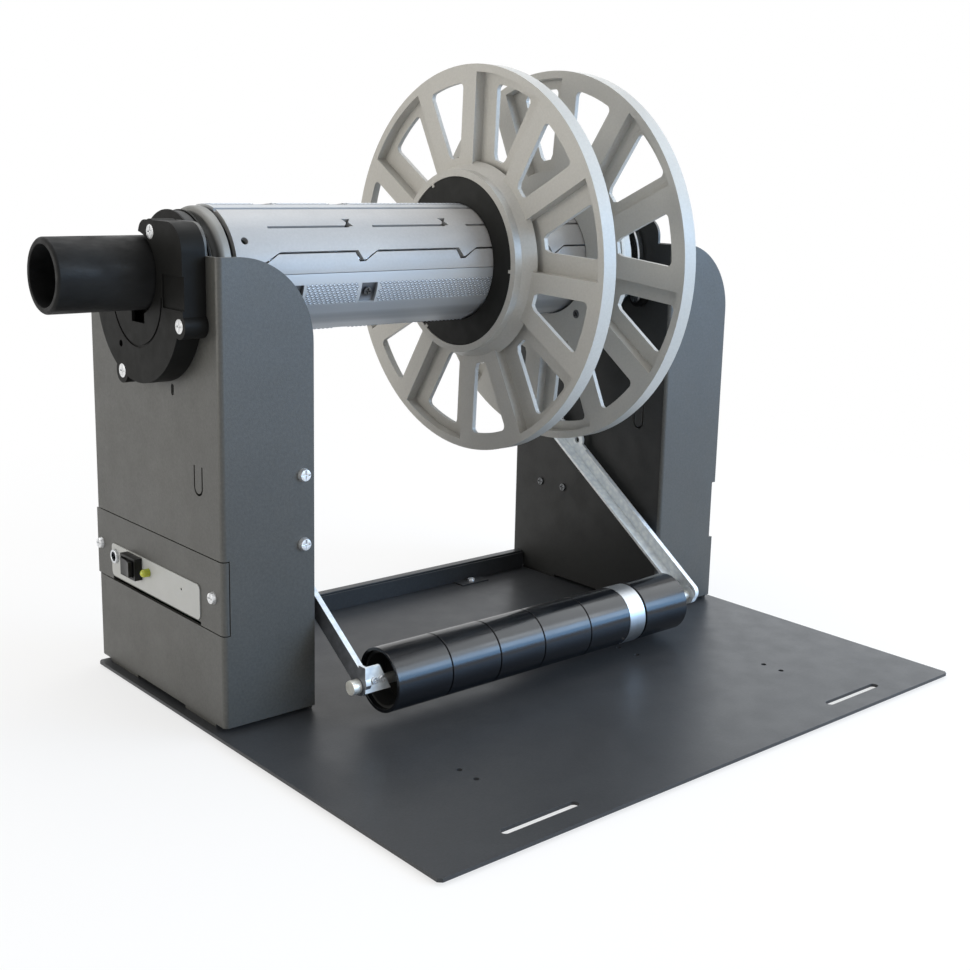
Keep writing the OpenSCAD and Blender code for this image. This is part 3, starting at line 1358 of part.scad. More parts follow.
module flange(a) {
  difference() {
    union() {
      on_axis(0, flange_w) ring_2d(flange_r, flange_r - rim_w, $fn = fine);
      on_axis(0, flange_t) sector_2d(a, flange_r - rim_w / 2, 0);
      on_axis(flange_w - flange_t, flange_w) sector_2d(a + sector_a, flange_r - rim_w / 2, 0);
      on_axis(0, flange_w) difference() {
        sector_2d(a, flange_r - rim_w / 2, 0);
        sector_2d(a, flange_r, -step_t);
      }
      on_axis(-hub_out, flange_w) circle(r = hub_r, $fn = fine);
      translate([-hub_out / 2, axis_y, axis_z]) rotate([0, 90, 0])
        cylinder(h = hub_out / 2 + flange_t, r1 = hub_r, r2 = hub_root_r, $fn = fine);
    }
    for (k = [0 : 11]) on_axis(-hub_out, flange_w + eps) window_2d(a + k * sector_a);
    on_axis(-hub_out - eps, flange_w + eps) circle(r = grip_bore_r + slip * 4, $fn = fine);
    on_axis(-hub_out - eps, grip_w - hub_out + grip_sink) difference() {
      circle(r = grip_r + slip, $fn = fine);
      for (q = [0 : 2]) rotate(q * 120 + hook_a) translate([grip_r - hook_w, -hook_w / 2]) square([2 * hook_w, hook_w]);
    }
    for (q = [0 : 2]) translate([0, axis_y, axis_z]) rotate([-q * 120 - grip_screw_a, 0, 0])
      rod_x(0, flange_w + eps, -grip_screw_pcd_r, 0, grip_head_r / 2 + slip, $fn = small);
    for (q = [0 : 2]) translate([0, axis_y, axis_z]) rotate([-q * 120 - grip_screw_a, 0, 0])
      rod_x(flange_w - grip_head_h, flange_w + eps, -grip_screw_pcd_r, 0, grip_head_r + slip, $fn = small);
  }
}

module grip_ring() on_axis(grip_sink - hub_out, grip_w - hub_out + grip_sink - slip) difference() {
  ring_2d(grip_r, grip_bore_r, $fn = fine);
  for (q = [0 : 2]) rotate(q * 120 + hook_a)
    translate([grip_r - hook_w - slip, -hook_w / 2 - slip]) square([2 * hook_w, hook_w + 2 * slip]);
}

module grip_screws()
  for (q = [0 : 2]) translate([0, axis_y, axis_z]) rotate([-q * 120 - grip_screw_a, 0, 0])
    translate([flange_w - grip_head_h, -grip_screw_pcd_r, 0]) rotate([0, 90, 0]) difference() {
      union() {
        cylinder(h = grip_head_h - slip, r = grip_head_r, $fn = small);
        translate([0, 0, grip_w - hub_out - flange_w + grip_head_h + grip_sink])
          cylinder(h = flange_w - grip_head_h + hub_out - grip_w - grip_sink + slip, r = grip_head_r / 2, $fn = small);
      }
      translate([0, 0, grip_head_h - slip]) cross_cut(grip_head_r * 2);
    }

module near_place() at_plate() translate([near_x, 0, 0]) children();
module far_place() at_plate() translate([far_x + flange_w, 0, 0]) mirror([1, 0, 0]) children();

module near_flange() color("#b9bab3") near_place() flange(near_a);
module near_grip_ring() color("#161616") near_place() grip_ring();
module grip_screws_near() color("#3a3c3e") near_place() grip_screws();
module far_flange() color("#b9bab3") far_place() flange(far_a + sector_a);
module far_grip_ring() color("#161616") far_place() grip_ring();
module grip_screws_far() color("#3a3c3e") far_place() grip_screws();

// Support rollers

module support_roller(s) at_plate() difference() {
  rod_x(support_left, support_left + support_w, axis_y + s * support_off, axis_z - support_drop, support_r, $fn = mid);
  rod_x(support_left - eps, support_left + support_w + eps, axis_y + s * support_off, axis_z - support_drop,
    support_pin_r + run_gap, $fn = mid);
}

module support_roller_front() color("#2a2b2c") support_roller(-1);
module support_roller_rear() color("#2a2b2c") support_roller(1);

// Guide roller and its arms

// 2D shape of an arm's web: along the arm from the axle, and across it.
module arm_2d() difference() {
  union() {
    translate([0, arm_rise - arm_w / 2]) square([arm_l, arm_w]);
    translate([0, arm_rise]) circle(r = arm_w / 2, $fn = mid);
    translate([arm_l, arm_rise]) circle(r = pivot_end_r, $fn = mid);
    translate([ear_l, arm_rise + ear_rise]) circle(r = ear_r, $fn = small);
  }
  translate([arm_l, arm_rise]) circle(r = pivot_r + run_gap, $fn = mid);
  translate([ear_l, arm_rise + ear_rise]) circle(r = ear_hole_r, $fn = small);
}

// Rim along the upper edge and round the lower end.
module arm_rim_2d() translate([0, arm_rise]) {
  translate([0, arm_w / 2 - arm_rim]) square([ear_l - 2 * ear_r, arm_rim]);
  difference() {
    circle(r = arm_w / 2, $fn = mid);
    circle(r = arm_w / 2 - arm_rim, $fn = mid);
    translate([0, -arm_w]) square([arm_w, 2 * arm_w]);
  }
}

// Web, rim, turned lower edge and axle boss.
module arm_shape() {
  translate([arm_x, guide_y, guide_z]) rotate([arm_a, 0, 0]) {
    rotate([90, 0, 90]) linear_extrude(arm_t) arm_2d();
    rotate([90, 0, 90]) linear_extrude(arm_t + arm_rim) arm_rim_2d();
    block([0, lip_start, arm_rise - arm_w / 2], [arm_lip, arm_l - lip_end, arm_rise - arm_w / 2 + arm_t]);
  }
  rod_x(arm_x, arm_x + 2 * arm_t, guide_y, guide_z, boss_r, $fn = mid);
}

module axle_hole()
  rod_x(arm_x - eps, arm_x + 2 * arm_t + eps, guide_y, guide_z, axle_r + slip, $fn = mid);

// Bent tab before the left arm's lower end.
module arm_tab() {
  block([arm_x, arm_tab_y, arm_tab_z], [arm_x + arm_t, guide_y, arm_tab_z + arm_tab_h]);
  translate([arm_x, arm_tab_y + arm_t, arm_tab_z]) rotate([90, 0, 0]) linear_extrude(arm_t)
    polygon([[0, 0], [arm_tab_low, 0], [arm_tab_top, arm_tab_h], [0, arm_tab_h]]);
}

module left_arm() color("#b3b9c0") at_plate() difference() {
  union() {
    arm_shape();
    arm_tab();
  }
  for (x = [tab_screw_x, tab_screw_x + tab_screw_pitch])
    rod_y(arm_tab_y - eps, arm_tab_y + arm_t + eps, arm_x + x, arm_tab_z + tab_screw_up, tab_head_r / 2,
      $fn = small);
  axle_hole();
}

module right_arm() color("#b3b9c0") at_plate() translate([arm_x + arm_right, 0, 0]) mirror([1, 0, 0])
  difference() {
    arm_shape();
    axle_hole();
  }

module guide_axle() color("#c3c1b8") at_plate() {
  rod_x(arm_x - slip, arm_right + slip, guide_y, guide_z, axle_r, $fn = mid);
  rod_x(arm_x - axle_out, arm_x - slip, guide_y, guide_z, axle_cap_r, $fn = mid);
  rod_x(arm_right + slip, arm_right + axle_r, guide_y, guide_z, axle_cap_r, $fn = mid);
}

module tab_screws() color("#d5d7d9") at_plate()
  for (x = [tab_screw_x, tab_screw_x + tab_screw_pitch])
    translate([arm_x + x, arm_tab_y, arm_tab_z + tab_screw_up]) rotate([90, 0, 0])
      pan_screw(tab_head_r, tab_head_h, tab_head_r / 2 - slip, arm_t);

// Sleeve of the guide roller.
module sleeve(x0, x1, r1, r0) on_axis(guide_left + x0, guide_left + x1, guide_y, guide_z) ring_2d(r1, r0, $fn = fine);

module guide_sleeves() color("#101114") at_plate() {
  for (k = [0 : 4]) sleeve(k == 0 ? 0 : sleeve_ends[k - 1] + sleeve_gap, sleeve_ends[k], guide_r, guide_in_r);
  sleeve(last_left, guide_len, guide_r, guide_in_r);
}

module guide_band() color("#c9ccce") at_plate() sleeve(band_left + slip, band_left + band_w, guide_r, guide_in_r);

module guide_tube() color("#2b2c2e") at_plate()
  sleeve(guide_tube_in, guide_len - guide_tube_in, guide_in_r - slip, guide_tube_in_r);

module guide_plugs() color("#3a3b3d") at_plate()
  for (x = [plug_in, guide_len - plug_in - bearing_plug_w])
    sleeve(x, x + bearing_plug_w, guide_tube_in_r - slip, axle_r + run_gap);

module arm_pivot_pins() color("#a9abad") at_plate() {
  rod_x(tower_x + tower_w - cover_gap - cover_t - pivot_head_h, arm_x + arm_t + pivot_air, pivot_y, pivot_z, pivot_r,
    $fn = mid);
  rod_x(arm_x + arm_t + pivot_air, arm_x + arm_t + pivot_air + pivot_head_h, pivot_y, pivot_z, pivot_head_r,
    $fn = mid);
  rod_x(arm_right - arm_t - pivot_air, web_out_right, pivot_y, pivot_z, pivot_r, $fn = mid);
  rod_x(arm_right - arm_t - pivot_air - pivot_head_h, arm_right - arm_t - pivot_air, pivot_y, pivot_z, pivot_head_r,
    $fn = mid);
}

base_plate();
foot_pads();
rear_rail();
rail_liner();
rail_screw();
left_tower();
right_tower();
left_inner_cover();
right_outer_cover();
tower_screws();
web_screws();
control_panel();
panel_label();
panel_screws();
switch_body();
switch_rocker();
power_socket();
signal_lamp();
side_cover();
cover_screws();
bearing_ring();
motor_bracket();
gear_motor();
motor_pulley();
drive_belt();
control_board();
handle_tube();
journal();
belt_pulley();
steel_disc();
end_collar();
core_tube();
core_spiders();
right_plug();
end_ring();
jaw_lower();
wide_panel_lower();
narrow_panel_front();
jaw_screws_lower();
jaw_upper();
wide_panel_upper();
narrow_panel_back();
jaw_screws_upper();
near_flange();
near_grip_ring();
grip_screws_near();
far_flange();
far_grip_ring();
grip_screws_far();
support_roller_front();
support_roller_rear();
arm_pivot_pins();
left_arm();
right_arm();
tab_screws();
guide_axle();
guide_sleeves();
guide_band();
guide_tube();
guide_plugs();
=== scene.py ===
import bpy
import json
import math
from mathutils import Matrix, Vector


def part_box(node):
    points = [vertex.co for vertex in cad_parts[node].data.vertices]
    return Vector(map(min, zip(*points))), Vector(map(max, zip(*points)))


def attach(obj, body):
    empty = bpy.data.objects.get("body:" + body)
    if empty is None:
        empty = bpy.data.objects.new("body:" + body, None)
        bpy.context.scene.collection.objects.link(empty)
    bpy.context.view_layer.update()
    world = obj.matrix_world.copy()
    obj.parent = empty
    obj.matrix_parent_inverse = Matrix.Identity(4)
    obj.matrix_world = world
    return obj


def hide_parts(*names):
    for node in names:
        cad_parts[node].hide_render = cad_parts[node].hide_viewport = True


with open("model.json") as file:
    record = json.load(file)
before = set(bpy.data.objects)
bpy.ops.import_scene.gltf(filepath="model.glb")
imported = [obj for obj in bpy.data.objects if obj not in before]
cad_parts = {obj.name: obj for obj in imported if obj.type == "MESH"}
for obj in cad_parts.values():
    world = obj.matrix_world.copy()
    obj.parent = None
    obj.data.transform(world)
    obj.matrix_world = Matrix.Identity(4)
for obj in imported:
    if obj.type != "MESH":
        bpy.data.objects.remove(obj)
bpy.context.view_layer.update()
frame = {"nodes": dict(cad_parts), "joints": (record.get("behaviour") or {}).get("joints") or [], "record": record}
nodes = frame["nodes"]
bodies = frame["record"]["behaviour"]["bodies"]
body_of = {node: body for body, members in bodies.items() for node in members}

# Places in the frame, in metres
PLATE_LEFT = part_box("base_plate")[0].x
SPINDLE = next(Vector(joint["pos_m"]) for joint in frame["joints"] if joint["name"] == "spindle_spin")


def mm(v):
    """Millimetres, given in metres."""
    return v / 1000


def from_left(x):
    """How far a place in metres lies from the plate's left edge, in millimetres."""
    return (x - PLATE_LEFT) * 1000


# Sizes and places in millimetres; pockets are counted from the plate's left edge
MANDREL_R = (SPINDLE.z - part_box("end_ring")[0].z) * 1000
POCKET_X, POCKET_PITCH, POCKET_PLACES = 70.6, 52.2, (0, 1, 4)
POCKET_L, POCKET_DEPTH = 11.5, 2.6


# Finishes

def tree_of(name):
    material = bpy.data.materials.new(name)
    material.use_nodes = True
    tree = material.node_tree
    shader = tree.nodes["Principled BSDF"]
    places = tree.nodes.new("ShaderNodeTexCoord")
    return material, tree, shader, places.outputs["Object"]


def worked(tree, kind, operation, given):
    """A node that reckons with numbers or vectors; each of the given is a socket or a plain value."""
    made = tree.nodes.new(kind)
    made.operation = operation
    for socket, value in zip(made.inputs, given):
        if isinstance(value, bpy.types.NodeSocket):
            tree.links.new(value, socket)
        else:
            socket.default_value = value
    return made.outputs["Value"] if operation == "LENGTH" else made.outputs[0]


def maths(tree, operation, *given):
    return worked(tree, "ShaderNodeMath", operation, given)


def vectors(tree, operation, *given):
    return worked(tree, "ShaderNodeVectorMath", operation, given)


def span(tree, source, low, high, low_out=0.0, high_out=1.0):
    """The stretch from low to high, turned into the one from low_out to high_out."""
    made = tree.nodes.new("ShaderNodeMapRange")
    made.inputs["From Min"].default_value = low
    made.inputs["From Max"].default_value = high
    made.inputs["To Min"].default_value = low_out
    made.inputs["To Max"].default_value = high_out
    tree.links.new(source, made.inputs["Value"])
    return made.outputs["Result"]


def stretched(tree, source, stretch):
    mapping = tree.nodes.new("ShaderNodeMapping")
    mapping.inputs["Scale"].default_value = stretch
    tree.links.new(source, mapping.inputs["Vector"])
    return mapping.outputs["Vector"]


def noise(tree, source, scale, detail=3.0, rough=0.55):
    made = tree.nodes.new("ShaderNodeTexNoise")
    made.inputs["Scale"].default_value = scale
    made.inputs["Detail"].default_value = detail
    made.inputs["Roughness"].default_value = rough
    tree.links.new(source, made.inputs["Vector"])
    return made.outputs["Fac"]


def ramp(tree, source, stops):
    """Colours or grey levels between stops, each a place from 0 to 1 and what it shows there."""
    made = tree.nodes.new("ShaderNodeValToRGB")
    band = made.color_ramp
    while len(band.elements) < len(stops):
        band.elements.new(0.5)
    for element, (place, colour) in zip(band.elements, stops):
        element.position = place
        element.color = (*colour, 1) if isinstance(colour, tuple) else (colour, colour, colour, 1)
    tree.links.new(source, made.inputs["Fac"])
    return made.outputs["Color"]


def bump(tree, shader, height, distance, strength):
    made = tree.nodes.new("ShaderNodeBump")
    made.inputs["Strength"].default_value = strength
    made.inputs["Distance"].default_value = distance
    tree.links.new(height, made.inputs["Height"])
    tree.links.new(made.outputs["Normal"], shader.inputs["Normal"])


def shade(colour, k):
    return tuple(min(1.0, c * k) for c in colour)


def coloured(tree, shader, source, colour, spread, low=0.3, high=0.7):
    """The shader's colour: a little darker where the source is low, a little paler where it is high."""
    stops = [(low, shade(colour, 1 - spread)), (high, shade(colour, 1 + spread))]
    tree.links.new(ramp(tree, source, stops), shader.inputs["Base Color"])


def polished(tree, shader, source, rough, low=0.3, high=0.7):
    """The shader's roughness, between two values as the source goes from low to high."""
    tree.links.new(ramp(tree, source, [(low, rough[0]), (high, rough[1])]), shader.inputs["Roughness"])


def coat(name, colour, grain, depth, rough, spread=0.08, gloss=0.5):
    """Powder coat: a fine orange peel, faint clouds and specks in the colour, uneven gloss."""
    material, tree, shader, source = tree_of(name)
    clouds = noise(tree, source, scale=14.0, detail=4.0)
    specks = noise(tree, source, scale=620.0, detail=2.0, rough=0.7)
    both = maths(tree, "MULTIPLY_ADD", clouds, 0.35, maths(tree, "MULTIPLY", specks, 0.65))
    coloured(tree, shader, both, colour, spread, low=0.36, high=0.64)
    polished(tree, shader, noise(tree, source, scale=60.0), rough, low=0.35, high=0.65)
    bump(tree, shader, noise(tree, source, grain, detail=2.0), depth, strength=0.6)
    shader.inputs["Specular IOR Level"].default_value = gloss
    return material


def metal(name, colour, rough=(0.28, 0.4), stretch=(1, 1, 1), grain=300.0, depth=0.00004, spread=0.08,
          share=1.0):
    """Bare metal: fine streaks in its colour and polish, drawn out as the pattern is stretched."""
    material, tree, shader, source = tree_of(name)
    streaks = noise(tree, stretched(tree, source, stretch), grain)
    coloured(tree, shader, streaks, colour, spread)
    polished(tree, shader, streaks, rough)
    bump(tree, shader, streaks, depth, strength=0.5)
    shader.inputs["Metallic"].default_value = share
    return material


def galvanised(name, colour, share):
    """Zinc with its flakes, paler in the middle of each."""
    material, tree, shader, source = tree_of(name)
    flakes = tree.nodes.new("ShaderNodeTexVoronoi")
    flakes.inputs["Scale"].default_value = 260.0
    tree.links.new(source, flakes.inputs["Vector"])
    stops = [(0.1, shade(colour, 1.12)), (0.8, shade(colour, 0.86))]
    tree.links.new(ramp(tree, flakes.outputs["Distance"], stops), shader.inputs["Base Color"])
    polished(tree, shader, noise(tree, source, scale=90.0), rough=(0.28, 0.46))
    bump(tree, shader, noise(tree, source, scale=700.0, detail=2.0), 0.00003, strength=0.5)
    shader.inputs["Metallic"].default_value = share
    return material


def shaded_by_depth(name, peak, hollow_shade, dark_at, pale_at):
    """Metal of the jaws, with painted shade: dark in the hollows and pale on top, by the distance from the
    spindle's axis.
    """
    material, tree, shader, source = tree_of(name)
    across = vectors(tree, "MULTIPLY", vectors(tree, "SUBTRACT", source, SPINDLE), (0, 1, 1))
    height = span(tree, vectors(tree, "LENGTH", across), mm(dark_at), mm(pale_at))
    tree.links.new(ramp(tree, height, [(0.0, hollow_shade), (0.9, peak)]), shader.inputs["Base Color"])
    shader.inputs["Roughness"].default_value = 0.42
    shader.inputs["Metallic"].default_value = 0.3
    bump(tree, shader, noise(tree, source, scale=900.0, detail=2.0), 0.00003, strength=0.4)
    return material


def moulded(name, colour, rough=(0.35, 0.5), grain=900.0, depth=0.00006, spread=0.12, stretch=(1, 1, 1),
            gloss=0.5):
    """Moulded plastic: fine grain, faint flow marks."""
    material, tree, shader, source = tree_of(name)
    flow = stretched(tree, source, stretch)
    coloured(tree, shader, noise(tree, flow, scale=40.0, detail=4.0), colour, spread)
    polished(tree, shader, noise(tree, flow, scale=110.0), rough)
    bump(tree, shader, noise(tree, flow, grain), depth, strength=0.6)
    shader.inputs["Specular IOR Level"].default_value = gloss
    return material


tower_coat = coat("tower powder coat", (0.050, 0.0495, 0.0445), grain=1500.0, depth=0.00012,
                  rough=(0.42, 0.50), spread=0.20, gloss=0.58)
plate_coat = coat("plate powder coat", (0.038, 0.040, 0.043), grain=1100.0, depth=0.00006,
                  rough=(0.34, 0.40), spread=0.12, gloss=0.26)
# Painted shade: a darker copy of the tower coat for faces that lie in shade, the right tower's web, the left inner
# cover and the guide tube
shaded_coat = coat("shaded tower web", (0.026, 0.0265, 0.026), grain=1300.0, depth=0.00008,
                  rough=(0.45, 0.6), gloss=0.28)
cast_paint = coat("flange paint", (0.455, 0.443, 0.412), grain=1900.0, depth=0.00009,
                  rough=(0.36, 0.46), spread=0.05)
panel_paint = coat("shell panel finish", (0.415, 0.405, 0.395), grain=2600.0, depth=0.00004,
                   rough=(0.34, 0.44), spread=0.04)

# Painted shade: the teeth dark at their feet, and the jaws dark on their pocket floors, by depth below the jaw's
# face
tooth_metal = shaded_by_depth("jaw teeth", peak=(0.62, 0.65, 0.69), hollow_shade=(0.10, 0.12, 0.145),
                       dark_at=MANDREL_R + 0.04, pale_at=MANDREL_R + 0.34)
knurl_metal = shaded_by_depth("knurled jaw", peak=(0.47, 0.485, 0.50), hollow_shade=(0.05, 0.055, 0.065),
                       dark_at=MANDREL_R - POCKET_DEPTH, pale_at=MANDREL_R - 1.1)

collar_metal = metal("end collar finish", (0.19, 0.19, 0.18), rough=(0.46, 0.56), stretch=(50, 1, 1),
                     grain=80.0, depth=0.00003, share=0.6)
bright_zinc = metal("bright zinc", (0.68, 0.69, 0.70), rough=(0.30, 0.42), depth=0.00003, spread=0.06,
                    share=0.8)
pale_zinc = metal("pale zinc", (0.74, 0.74, 0.70), rough=(0.38, 0.5), grain=400.0, spread=0.06, share=0.7)
dark_zinc = metal("dark zinc", (0.13, 0.135, 0.14), rough=(0.3, 0.42))
turned_steel = metal("turned steel", (0.62, 0.64, 0.66), rough=(0.16, 0.26), stretch=(60, 1, 1),
                     grain=90.0, depth=0.00003)
edge_highlight = metal("painted edge highlight", (0.80, 0.82, 0.84), rough=(0.3, 0.4), depth=0.00002, spread=0.04,
                 share=0.5)
band_metal = metal("guide band", (0.40, 0.42, 0.44), rough=(0.34, 0.46), stretch=(40, 1, 1), grain=60.0)
# A lit and a shaded copy of the same zinc, as painted light: near white with little metal where light falls, dark
# and metallic for the left arm, which faces shade
zinc_lit = galvanised("galvanised sheet", (0.86, 0.92, 0.97), share=0.12)
zinc_shaded = galvanised("shaded galvanised sheet", (0.19, 0.20, 0.22), share=0.75)

black_mould = moulded("black moulding", (0.008, 0.008, 0.0075), rough=(0.44, 0.56), grain=1200.0,
                      gloss=0.085)
handle_black = moulded("handle tube plastic", (0.0105, 0.0107, 0.0108), rough=(0.36, 0.72), grain=420.0,
                       depth=0.00020, spread=0.75, stretch=(0.5, 1, 1), gloss=0.13)
grip_black = moulded("grip ring rubber", (0.010, 0.010, 0.009), rough=(0.55, 0.68), grain=1500.0,
                     depth=0.00007, spread=0.1, gloss=0.2)
roller_black = moulded("roller sleeve", (0.006, 0.007, 0.009), rough=(0.15, 0.24), grain=260.0,
                       depth=0.00005, spread=0.2, stretch=(0.25, 1, 1), gloss=0.42)
rubber_black = moulded("rubber", (0.018, 0.018, 0.018), rough=(0.6, 0.75))
switch_black = moulded("switch plastic", (0.008, 0.008, 0.008), rough=(0.32, 0.42), grain=1600.0,
                       depth=0.00003, spread=0.1, gloss=0.25)
label_print = moulded("label field", (0.385, 0.39, 0.38), rough=(0.35, 0.45), grain=1200.0,
                      depth=0.00002, spread=0.04)
board_green = moulded("circuit board", (0.02, 0.10, 0.055), rough=(0.25, 0.35), grain=1500.0,
                      depth=0.00003)
lamp_yellow = moulded("signal lamp", (0.40, 0.43, 0.03), rough=(0.12, 0.2), grain=300.0, depth=0.00001,
                      spread=0.06)
lamp_depth = lamp_yellow.node_tree.nodes["Principled BSDF"].inputs
lamp_depth["Subsurface Weight"].default_value = 0.3
lamp_depth["Subsurface Scale"].default_value = 0.002

# The nodes that each finish is on
nodes_in = [
    (tower_coat, ["left_tower", "right_tower", "right_outer_cover", "control_panel"]),
    (plate_coat, ["base_plate", "rear_rail", "rail_liner"]),
    (shaded_coat, ["left_inner_cover", "guide_tube"]),
    (cast_paint, ["core_spiders", "near_flange", "far_flange"]),
    (panel_paint, ["wide_panel_lower", "narrow_panel_front", "wide_panel_upper", "narrow_panel_back"]),
    (knurl_metal, ["jaw_lower", "jaw_upper"]),
    (collar_metal, ["end_collar"]),
    (bright_zinc, ["rail_screw", "tower_screws", "panel_screws", "cover_screws", "tab_screws"]),
    (pale_zinc, ["guide_axle"]),
    (dark_zinc, ["web_screws", "jaw_screws_lower", "jaw_screws_upper", "grip_screws_near",
                 "grip_screws_far"]),
    (turned_steel, ["power_socket", "bearing_ring", "gear_motor", "journal", "steel_disc", "core_tube",
                    "end_ring", "arm_pivot_pins"]),
    (band_metal, ["guide_band"]),
    (zinc_lit, ["motor_bracket", "right_arm"]),
    (zinc_shaded, ["left_arm"]),
    (black_mould, ["side_cover", "motor_pulley", "belt_pulley", "right_plug", "support_roller_front",
                   "support_roller_rear", "guide_plugs"]),
    (handle_black, ["handle_tube"]),
    (grip_black, ["near_grip_ring", "far_grip_ring"]),
    (roller_black, ["guide_sleeves"]),
    (rubber_black, ["foot_pads", "drive_belt"]),
    (switch_black, ["switch_body", "switch_rocker"]),
    (label_print, ["panel_label"]),
    (board_green, ["control_board"]),
    (lamp_yellow, ["signal_lamp"]),
]
finish_of = {node: finish for finish, members in nodes_in for node in members}


# Rounded edges

# Rounding in millimetres of the nodes whose edges show
edge_of = {
    "base_plate": 0.35, "rear_rail": 0.35, "rail_liner": 0.25, "rail_screw": 0.08,
    "left_tower": 0.45, "right_tower": 0.45, "left_inner_cover": 0.3, "right_outer_cover": 0.3,
    "tower_screws": 0.1, "web_screws": 0.1, "control_panel": 0.25, "panel_label": 0.12, "panel_screws": 0.08,
    "switch_body": 0.4, "switch_rocker": 0.35, "power_socket": 0.25, "side_cover": 0.7, "cover_screws": 0.1,
    "handle_tube": 0.5, "belt_pulley": 0.15, "steel_disc": 0.3, "end_collar": 0.3, "right_plug": 0.4,
    "jaw_lower": 0.25, "wide_panel_lower": 0.2, "narrow_panel_front": 0.2, "jaw_upper": 0.25,
    "wide_panel_upper": 0.2, "narrow_panel_back": 0.2, "near_flange": 1.0, "near_grip_ring": 0.3,
    "far_flange": 1.0, "far_grip_ring": 0.3, "support_roller_front": 0.5, "support_roller_rear": 0.5,
    "left_arm": 0.3, "right_arm": 0.3, "tab_screws": 0.12, "guide_axle": 0.4, "guide_sleeves": 0.35,
    "guide_band": 0.2, "jaw_screws_lower": 0.15, "jaw_screws_upper": 0.15, "arm_pivot_pins": 0.4,
}

# Nodes whose rounded edges get a painted highlight
highlit_edges = ("left_arm", "right_arm")

# Finish put on the faces that point one way, and how straight, as painted light: the lit zinc copy, a painted
# highlight, on the left arm's tab and rim; the painted shade coat on the right tower's web
light_painted_by_facing = {
    "left_arm": (zinc_lit, Vector((0, -0.7, 0.7)), 0.6),
    "right_tower": (shaded_coat, Vector((-1, 0, 0)), 0.95),
}

# Points closer than this, in metres, are merged
SAME_POINT = 0.000002

# Degrees between faces: flatter ones become one, sharper edges are rounded, gentler ones look smooth
FLAT_ANGLE, EDGE_ANGLE, SMOOTH_ANGLE = 0.6, 32, 34


def only(piece):
    """Selects this piece alone."""
    bpy.ops.object.select_all(action="DESELECT")
    piece.select_set(True)
    bpy.context.view_layer.objects.active = piece


def dressed(piece, material):
    piece.data.materials.clear()
    piece.data.materials.append(material)


def eased(node, width):
    """A copy of a node with its sharp edges rounded, in the node's place. Screws keep all their faces."""
    piece = bpy.data.objects.new(node + "_eased", nodes[node].data.copy())
    bpy.context.scene.collection.objects.link(piece)
    dressed(piece, finish_of[node])
    only(piece)
    bpy.ops.object.mode_set(mode="EDIT")
    bpy.ops.mesh.select_all(action="SELECT")
    bpy.ops.mesh.remove_doubles(threshold=SAME_POINT)
    if "screw" not in node:
        bpy.ops.mesh.dissolve_limited(angle_limit=math.radians(FLAT_ANGLE))
    bpy.ops.object.mode_set(mode="OBJECT")
    rounding = piece.modifiers.new("rounding", "BEVEL")
    rounding.width = mm(width)
    rounding.segments = 2
    rounding.limit_method = "ANGLE"
    rounding.angle_limit = math.radians(EDGE_ANGLE)
    # Painted highlight: the rounded edges of these nodes get a bright finish
    if node in highlit_edges:
        piece.data.materials.append(edge_highlight)
        rounding.material = 1
    bpy.ops.object.modifier_apply(modifier="rounding")
    # Painted light: faces that point the given way get the finish listed for them, lit zinc on the left arm,
    # painted shade on the right tower's web
    if node in light_painted_by_facing:
        finish, side, reach = light_painted_by_facing[node]
        piece.data.materials.append(finish)
        for face in piece.data.polygons:
            if face.normal.dot(side) > reach:
                face.material_index = len(piece.data.materials) - 1
    bpy.ops.object.shade_smooth_by_angle(angle=math.radians(SMOOTH_ANGLE))
    if "screw" not in node:
        flat = piece.modifiers.new("flat faces", "WEIGHTED_NORMAL")
        flat.keep_sharp = True
        bpy.ops.object.modifier_apply(modifier="flat faces")
    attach(piece, body_of[node])
    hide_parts(node)


for node, finish in finish_of.items():
    dressed(nodes[node], finish)
for node, width in edge_of.items():
    eased(node, width)


# Knurled strips of the jaws

# Ends of the strips, a little inside the jaw's, and the smooth edge left beside a pocket
JAW_ENDS = [from_left(corner.x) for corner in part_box("jaw_lower")]
KNURL_FROM, KNURL_TO = JAW_ENDS[0] + 0.8, JAW_ENDS[1] - 0.4
POCKET_BORDER = 1.9

# Teeth: pitch along a row, pitch from row to row, height, rows of a strip, shift of each row along the strip
TOOTH_PITCH, TOOTH_CLIMB, TOOTH_HIGH = 3.1, 1.62, 0.55
TOOTH_ROWS, TOOTH_SHIFT = 8, 1.03

# How far a tooth's corners are from its middle, at the foot and the tip, as shares of the pitch between rows
FOOT_SHARE, TIP_SHARE = 0.80, 0.10

# How much of the pitch a tooth is long, and how much of its height is sunk in the jaw
LONG_SHARE, SUNK_SHARE = 0.9, 0.3

# Middle of the lower jaw's two strips, in degrees upwards from the front; the upper jaw's lie opposite
FRONT_STRIP, BOTTOM_STRIP = -20.75, -88.65


